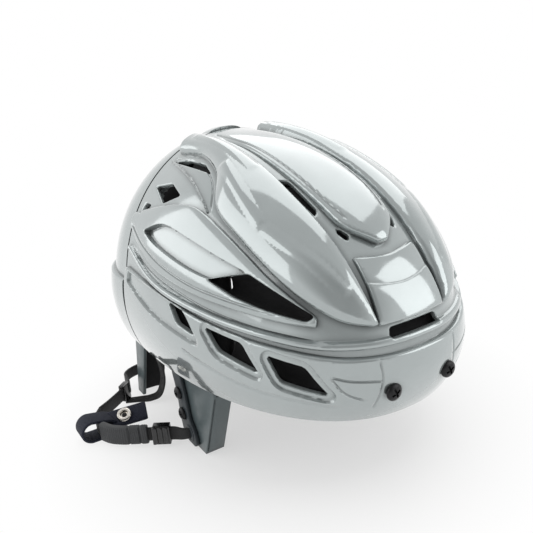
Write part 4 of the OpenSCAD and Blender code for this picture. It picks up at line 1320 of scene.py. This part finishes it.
# %% Strap tail
SMALL_BUCKLE_W, TAIL_GAP, TAIL_T = STRAP_W + 3, 0.8, 1.6
TAIL_Z = SLOT_Z - SMALL_BUCKLE_W / 2 - TAIL_GAP
TAIL = [(-19, 0, -85, 7), (-9, 0, -80, 7.5), (-2, 1, -75, 8), (4, 4.1, -72, 8), (7.5, 14.1, -70, 8),
        (7.5, 25.1, -68.5, 8), (5, 36.1, -66.5, 8), (2.5, 45.1, -63, 8), (1, 54.1, -60, 8)]
tail = sweep("strap_tail_web", [[x - GUARD_X, -forward, TAIL_Z + height, width]
                                for x, height, forward, width in TAIL], TAIL_T, webbing_black,
             wide=(0, 1, 0))
dress(tail, "strap", "webbing", "strap_tail")

# %% [markdown]
# Both buckles are little ladders of glossy black plastic: two long bars, two end bars and rungs that
# the webbing weaves through. Blocks with rounded edges, joined, come closest to such a moulding. The
# slide buckle also has a raised lever on one side, which is pushed to let the strap slip.

# %% Buckles
def along_strap(s):
    """A place on the straight of the strap, turned with it."""
    x, y = STRAP_AT + s * STRAP_WAY
    return Matrix.Translation((x, y, SLOT_Z)) @ Matrix.Rotation(STRAP_ANGLE, 4, "Z")


def bars(name, size, bevel, *places):
    """Equal blocks of glossy black plastic at several places."""
    return [box_piece(name, size, gloss_black, bevel, place) for place in places]


SLIDE_AT = 14
slide_parts = bars("long_bar", (12, 1.7, 14.5), 0.6, (0, -2.15, 0), (0, 2.15, 0))
slide_parts += bars("end_bar", (12, 6, 1.7), 0.6, (0, 0, -6.4), (0, 0, 6.4))
slide_parts += bars("rung", (1.9, 1.6, 12.5), 0.5, (-3.8, 3.3, 0), (0, 3.3, 0), (3.8, 3.3, 0))
slide_parts += bars("lever", (2.6, 2.4, 13.6), 0.8, (5.2, 3.0, 0))
dress(placed(joined("slide_buckle_form", *slide_parts), along_strap(SLIDE_AT)), "buckle",
      "black_plastic", "slide_buckle")

small_parts = bars("long_bar", (8, 1.2, SMALL_BUCKLE_W), 0.4, (0, -1.95, 0), (0, 1.95, 0))
small_parts += bars("end_bar", (8, 5, 1.4), 0.4, (0, 0, -6.1), (0, 0, 6.1))
small_parts += bars("rung", (1.6, 1.2, 12), 0.4, (-2.6, 2.7, 0), (0.6, 2.7, 0))
small_place = Matrix.Translation((*SMALL_BUCKLE, SLOT_Z)) @ Matrix.Rotation(SMALL_ANGLE, 4, "Z")
dress(placed(joined("small_buckle_form", *small_parts), small_place), "strap", "black_plastic",
      "small_buckle")

# %% [markdown]
# The chin pad is a soft sleeve round the strap, with rounded ends, two deep grooves that let it bend,
# and fine ribs that keep it from slipping. The same sweep makes it, since the thickness may change
# along the way. The ribs are real shape: they show at the edge of the pad.

# %% Chin pad
PAD_W, PAD_T, END_RUN, RIB_STEP = 13.5, 6.4, 1.6, 1.4
PAD_GROOVES, GROOVE_HALF = (5.2, 13.2), 0.9


def pad_shape(run, whole_run):
    """Rounded ends, two grooves, and fine ribs across the pad."""
    end = min(1, run / END_RUN, (whole_run - run) / END_RUN)
    groove = sum(max(0, 1 - abs(run - place) / GROOVE_HALF) for place in PAD_GROOVES)
    ribs = 0.05 * (1 + math.cos(run * math.tau / RIB_STEP))
    return (0.72 + 0.28 * math.sqrt(max(end, 0))) * (1 - 0.3 * min(groove, 1)) - ribs


pad_line = [strap_at(s, PAD_W) for s in (24, 30, 36, 42)] + [outward(p, PAD_W) for p in CHIN_BEND[:2]]
pad = sweep("chin_pad_form", pad_line, PAD_T, pad_plastic, steps=36, corner=0.28, shape=pad_shape)
dress(pad, "strap", "pad_rubber", "chin_pad")

# %% [markdown]
# The snap loop is wide navy webbing that goes round the pad at the chin. It is a closed sweep, round
# at the fold and flatter behind, and its flap lies over the fold. The flap is made lying flat and then
# turned about three axes, so that its own shape and its tilt can be changed apart.

# %% Snap loop
LOOP_Y, LOOP_W, LOOP_T, FLAP_T = 46.5, 15.0, 2.1, 3.1
FOLD_X, FOLD_Z, FOLD_R = -57.5, -0.75, 7.4
FLAP_PLACE, FLAP_TURNS = (-GUARD_X - 42.5, LOOP_Y + 6, SLOT_Z - 0.8), (("Z", -20), ("Y", -8), ("X", 25))
loop_line = [(FOLD_X + FOLD_R * math.cos(a), FOLD_Z + FOLD_R * math.sin(a))
             for a in np.radians(range(90, 271, 20))]
loop_line += [(-49, -7.9), (-44.5, -5), (-41, -2.2), (-40, 0.6), (-42.5, 2.6), (-48, 4.6)]
loop = sweep("loop", [[x - GUARD_X, LOOP_Y + LOOP_W / 2, SLOT_Z + height, LOOP_W] for x, height in loop_line],
             LOOP_T, webbing_navy, wide=(0, 1, 0), closed=True)
flap = sweep("flap", [[-3.5, 0, 0.6, 13.6], [1, 0, 1.5, LOOP_W], [8, 0, 1.65, LOOP_W],
                      [18, 0, 1.65, LOOP_W], [25, 0, 1.6, LOOP_W], [27, 0, 1.5, LOOP_W - 1.2]],
             FLAP_T, webbing_navy, wide=(0, 1, 0))
on_flap = Matrix.Translation(FLAP_PLACE)
for axis, degrees in FLAP_TURNS:
    on_flap = on_flap @ Matrix.Rotation(math.radians(degrees), 4, axis)
dress(joined("snap_loop_web", loop, placed(flap, on_flap)), "strap", "navy_webbing", "snap_loop")

# %% [markdown]
# The socket of the press stud is a spun nickel ring with a dark spring in its middle. Both are turned,
# and they are placed with the flap's own matrix, so they lie flat on it whatever its tilt.

# %% Snap socket
RING = [(0.4, 0.1), (2.5, 0.1), (2.7, 1.6), (3.1, 2.15), (4.0, 2.4), (4.9, 2.15), (5.4, 1.5), (5.6, 0.5),
        (5.6, 0.0)]
SPRING = [(0.3, 0.2), (1.5, 0.2), (1.8, 0.5), (1.6, 0.9), (1.0, 1.1), (0.3, 1.15)]
SOCKET_ON_FLAP = (11, 0, 3.2)
socket = joined("snap_socket_form", turned("ring", RING, nickel, steps=56),
                turned("spring", SPRING, black_screw, steps=32))
dress(placed(socket, on_flap @ Matrix.Translation(SOCKET_ON_FLAP)), "strap", "nickel", "snap_socket")

# %% [markdown]
# ## Nape guards and fit dial
# The nape guards hang from the rear shell. Each is a short tab that is screwed to it, a narrow strip
# that leans outward from there down, and a flange along its back edge. Plates again make all three.

# %% Nape guards
NAPE_LEAN, NAPE_HINGE_Z = math.radians(4.8), -3
TAB = [(-4.5, 21), (3, 21), (3, -5), (-4.5, -5)]
STRIP = [(-4.5, -3), (3, -3), (15, -8), (15.9, -STAND), (5.2, -STAND)]
NAPE_FLANGE = [(12.5, -8), (15, -8), (15.9, -STAND), (13.4, -STAND)]


def shifted(outline):
    return [(a + NAPE_Y, b) for a, b in outline]


def above_floor(made):
    """Flattens what the lean puts below the floor."""
    for vertex in made.data.vertices:
        vertex.co.z = max(vertex.co.z, -STAND * MM)
    return made


hinge = Matrix.Translation((-NAPE_X, 0, NAPE_HINGE_Z))
leaning = hinge @ Matrix.Rotation(NAPE_LEAN, 4, "Y") @ hinge.inverted()
for side, matrix in (("right", RIGHT), ("left", LEFT)):
    tab = plate("tab", shifted(TAB), -NAPE_X, GUARD_T, guard_plastic, corner=1.5)
    strip = plate("strip", shifted(STRIP), -NAPE_X, GUARD_T, guard_plastic, corner=1.5)
    flange = plate("flange", shifted(NAPE_FLANGE), -NAPE_X + FLANGE_IN, NAPE_FLANGE_W, guard_plastic,
                   corner=0.8, bevel=0.5)
    guard = joined(f"nape_guard_{side}_form", tab, placed(strip, leaning), placed(flange, leaning))
    dress(placed(above_floor(guard), matrix), "rear", "guard", f"nape_guard_{side}")

# %% [markdown]
# The dial at the back turns a lace that draws the rear shell in. Its housing is a flat disc with a hub
# for the knob to turn on and a stem that goes through the shell.

# %% Dial housing
DIAL_Z, HOUSING_Y, KNOB_Y, DIAL_SCREW_Y = 27, 138.4, 141.7, 149.1
HOUSING = [(0.5, 0), (18.6, 0), (19, 0.5), (19, 2.4), (18.4, 3), (4.4, 3), (4, 3.2), (4, 10.4),
           (3.6, 10.7), (1.7, 10.7)]
HOUSING_STEM = [(5.4, -11), (6, -10.4), (6, 0.2)]


def at_back(y):
    """A place on the dial's axis, facing backward."""
    return facing(0, y, DIAL_Z, (0, 1, 0))


housing = turned("housing", HOUSING, anchor_plastic, steps=72)
stem = turned("stem", HOUSING_STEM, anchor_plastic)
dress(placed(joined("dial_housing_form", housing, stem), at_back(HOUSING_Y)), "rear", "anchor",
      "dial_housing")

# %% [markdown]
# The knob is turned with the fingers, so it has scallops all round. They are a wave in the radius that
# grows toward the rim. A screw in the middle holds the knob on its hub.

# %% Fit dial
SCALLOPS, SCALLOP_DEPTH, SCALLOP_START, SCALLOP_RAMP = 18, 0.085, 9, 5


def scallop(angle, radius):
    """The knob's radius is multiplied by this at an angle."""
    wave = (0.5 + 0.5 * math.cos(SCALLOPS * angle)) ** 3
    return 1 - SCALLOP_DEPTH * wave * min(1, max(0, radius - SCALLOP_START) / SCALLOP_RAMP)


DIAL = [(4.25, 0.2), (15.2, 0), (15.9, 0.6), (15.9, 5.2), (15.2, 6.2), (13.8, 6.8), (11.5, 7), (10.5, 6.6),
        (7.5, 6.3), (6.5, 6.9), (4.8, 7), (4.25, 6.6)]
BORE = [(4.2, -2), (4.2, 10)]
knob = turned("fit_dial_form", DIAL, gloss_black, steps=12 * SCALLOPS, wave=scallop)
bore = turned("bore", BORE, gloss_black, steps=48)
dress(placed(cut_by(knob, bore), at_back(KNOB_Y)), "dial", "black_plastic", "fit_dial")
screws("dial_screw_form", "rear", "dial_screw", DIAL_SCREW, [at_back(DIAL_SCREW_Y)])

# %% [markdown]
# ## Foam
# The liners are stiff moulded foam that fills the space between shell and head. A cloth simulation is
# the way for soft cushions, but these keep their moulded form, so they start from their closed solids.
# Each copy is rebuilt with small even cells, so that it is one skin, and smoothed until its edges are
# round.

# %% Liners and pads
def foam_piece(node, body, cell, rounds):
    """A foam piece from its solid: cells of a size in millimetres, smoothed over some rounds."""
    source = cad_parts[node]
    made = bpy.data.objects.new(node + "_foam", source.data.copy())
    made.matrix_world = source.matrix_world
    bpy.context.scene.collection.objects.link(made)
    settled(made, ("REMESH", {"mode": "VOXEL", "voxel_size": cell * MM}),
            ("SMOOTH", {"factor": 0.5, "iterations": rounds}))
    made.data.materials.clear()
    made.data.materials.append(foam_black)
    made.data.shade_smooth()
    dress(made, body, "foam", node)


for node in ("forehead_liner", "side_liner_right", "side_liner_left", "crown_liner"):
    foam_piece(node, "front", cell=2.6, rounds=6)
for node in ("rear_liner", "occipital_pad"):
    foam_piece(node, "rear", cell=2.4, rounds=6)
for node in ("nape_pad_right", "nape_pad_left"):
    foam_piece(node, "rear", cell=1.0, rounds=4)

# %% [markdown]
# The nuts behind the brow screws are hidden by the foam. Their solid is good enough as it is and stays,
# with the steel finish on it.

# %% Brow nuts
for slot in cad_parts["brow_nuts"].material_slots:
    slot.material = nut_steel
print("brow nuts are in", nut_steel.name)

# %% [markdown]
# ## Stage and light
# A pale floor fades into a white background. Near the helmet it has to take a shadow, so part of it is
# diffuse there. Farther off it would look grey in places, so a Mix Shader lets it shine white by
# itself, but only for rays that see it or mirror it. The light that it throws on the helmet stays
# natural.

# %% Floor
FADE_START, FADE_END, LEAST_WHITE = 0.09, 0.19, 0.55
FLOOR_GAP = 0.2


def either(made, *names):
    """1 for the rays of the named kinds."""
    path = [made.node("ShaderNodeLightPath", {}, {}, name) for name in names]
    total = path[0]
    for other in path[1:]:
        total = total.math("MAXIMUM", total, other)
    return total


def floor_finish():
    """Partly diffuse near the object, so that it keeps the shadow, and plain white farther off."""
    made = Finish("floor_white", Base_Color=tint((0.88, 0.88, 0.875)), Roughness=0.9)
    place = made.coordinates()
    x, y = made.part(place, 0), made.part(place, 1)
    away = ((x * x + y * y) ** 0.5).spread(FADE_START, FADE_END) * (1 - LEAST_WHITE) + LEAST_WHITE
    seen = either(made, "Is Camera Ray", "Is Glossy Ray", "Is Transmission Ray")
    white = made.node("ShaderNodeEmission", {}, {"Color": tint((1, 1, 1))})
    diffuse = Wire(made, made.surface.outputs[0])
    blend = made.node("ShaderNodeMixShader", {}, {0: away * seen, 1: diffuse, 2: white})
    made.tree.links.new(blend.socket, made.tree.nodes["Material Output"].inputs["Surface"])
    return made.material


bpy.ops.mesh.primitive_plane_add(size=8, location=(0, 0, -(STAND + FLOOR_GAP) * MM))
floor = bpy.context.object
floor.name = "floor"
floor.data.materials.append(floor_finish())
print("floor at", round(floor.location.z / MM, 2), "mm")

# %% [markdown]
# A glossy shell shows its surroundings more than itself. Here the world is white to look at and pale
# in a reflection, apart from one dark patch in the direction of the camera, which gives the lobes
# their contrast. An image of a room could do it too, but a few numbers are easier to change.

# %% World
class Studio(Finish):
    """The world as a finish: its own tree, with the background in place of a surface."""

    def __init__(self, strength, overhead, dark_way, darkness):
        world = bpy.data.worlds.new("studio")
        bpy.context.scene.world = world
        world.use_nodes = True
        self.tree = world.node_tree
        self.surface = self.tree.nodes["Background"]
        self.surface.inputs["Color"].default_value = tint((1, 1, 1))
        way = self.coordinates("Generated")
        rise = self.part(way, 2)
        dark = self.node("ShaderNodeVectorMath", {"operation": "DOT_PRODUCT"}, {0: way, 1: dark_way},
                         "Value")
        pale = (1 - rise.spread(0.3, 0.9) * (1 - overhead)) * (1 - dark.spread(0.66, 0.93) * darkness)
        glossy = either(self, "Is Glossy Ray")
        seen = either(self, "Is Camera Ray", "Is Transmission Ray")
        lit = pale * glossy + strength * (1 - glossy)
        self.feed("Strength", seen + lit * (1 - seen))


studio = Studio(strength=0.68, overhead=0.7, dark_way=(-0.45, -0.77, 0.45), darkness=0.65)
print("world nodes:", len(studio.tree.nodes))

# %% [markdown]
# Three large soft lamps do the rest. The key stands on the left of the picture and draws the highlights
# down the lobes, the top lamp lights the crown from behind, and the fill opens the shadows from the
# right. Small lamps would burn white spots into the clear coat.

# %% Lamps
def lamp(name, place, aim, size, power):
    data = bpy.data.lights.new(name, "AREA")
    data.shape, data.size, data.size_y = "RECTANGLE", size[0], size[1]
    data.energy = power
    made = bpy.data.objects.new(name, data)
    made.location = place
    made.rotation_euler = (Vector(aim) - Vector(place)).to_track_quat("-Z", "Y").to_euler()
    bpy.context.scene.collection.objects.link(made)
    print(name, "lamp:", power, "W")


lamp("key", place=(-0.95, 0.5, 0.5), aim=(0, 0, 0.05), size=(1.4, 0.8), power=4)
lamp("top", place=(0.5, 0.5, 0.95), aim=(0, 0, 0.08), size=(1.2, 1.2), power=5)
lamp("fill", place=(0.8, -0.9, 0.6), aim=(0, -0.05, 0.05), size=(0.7, 1.0), power=3.5)

# %% [markdown]
# ## The end
# The scene is finished.
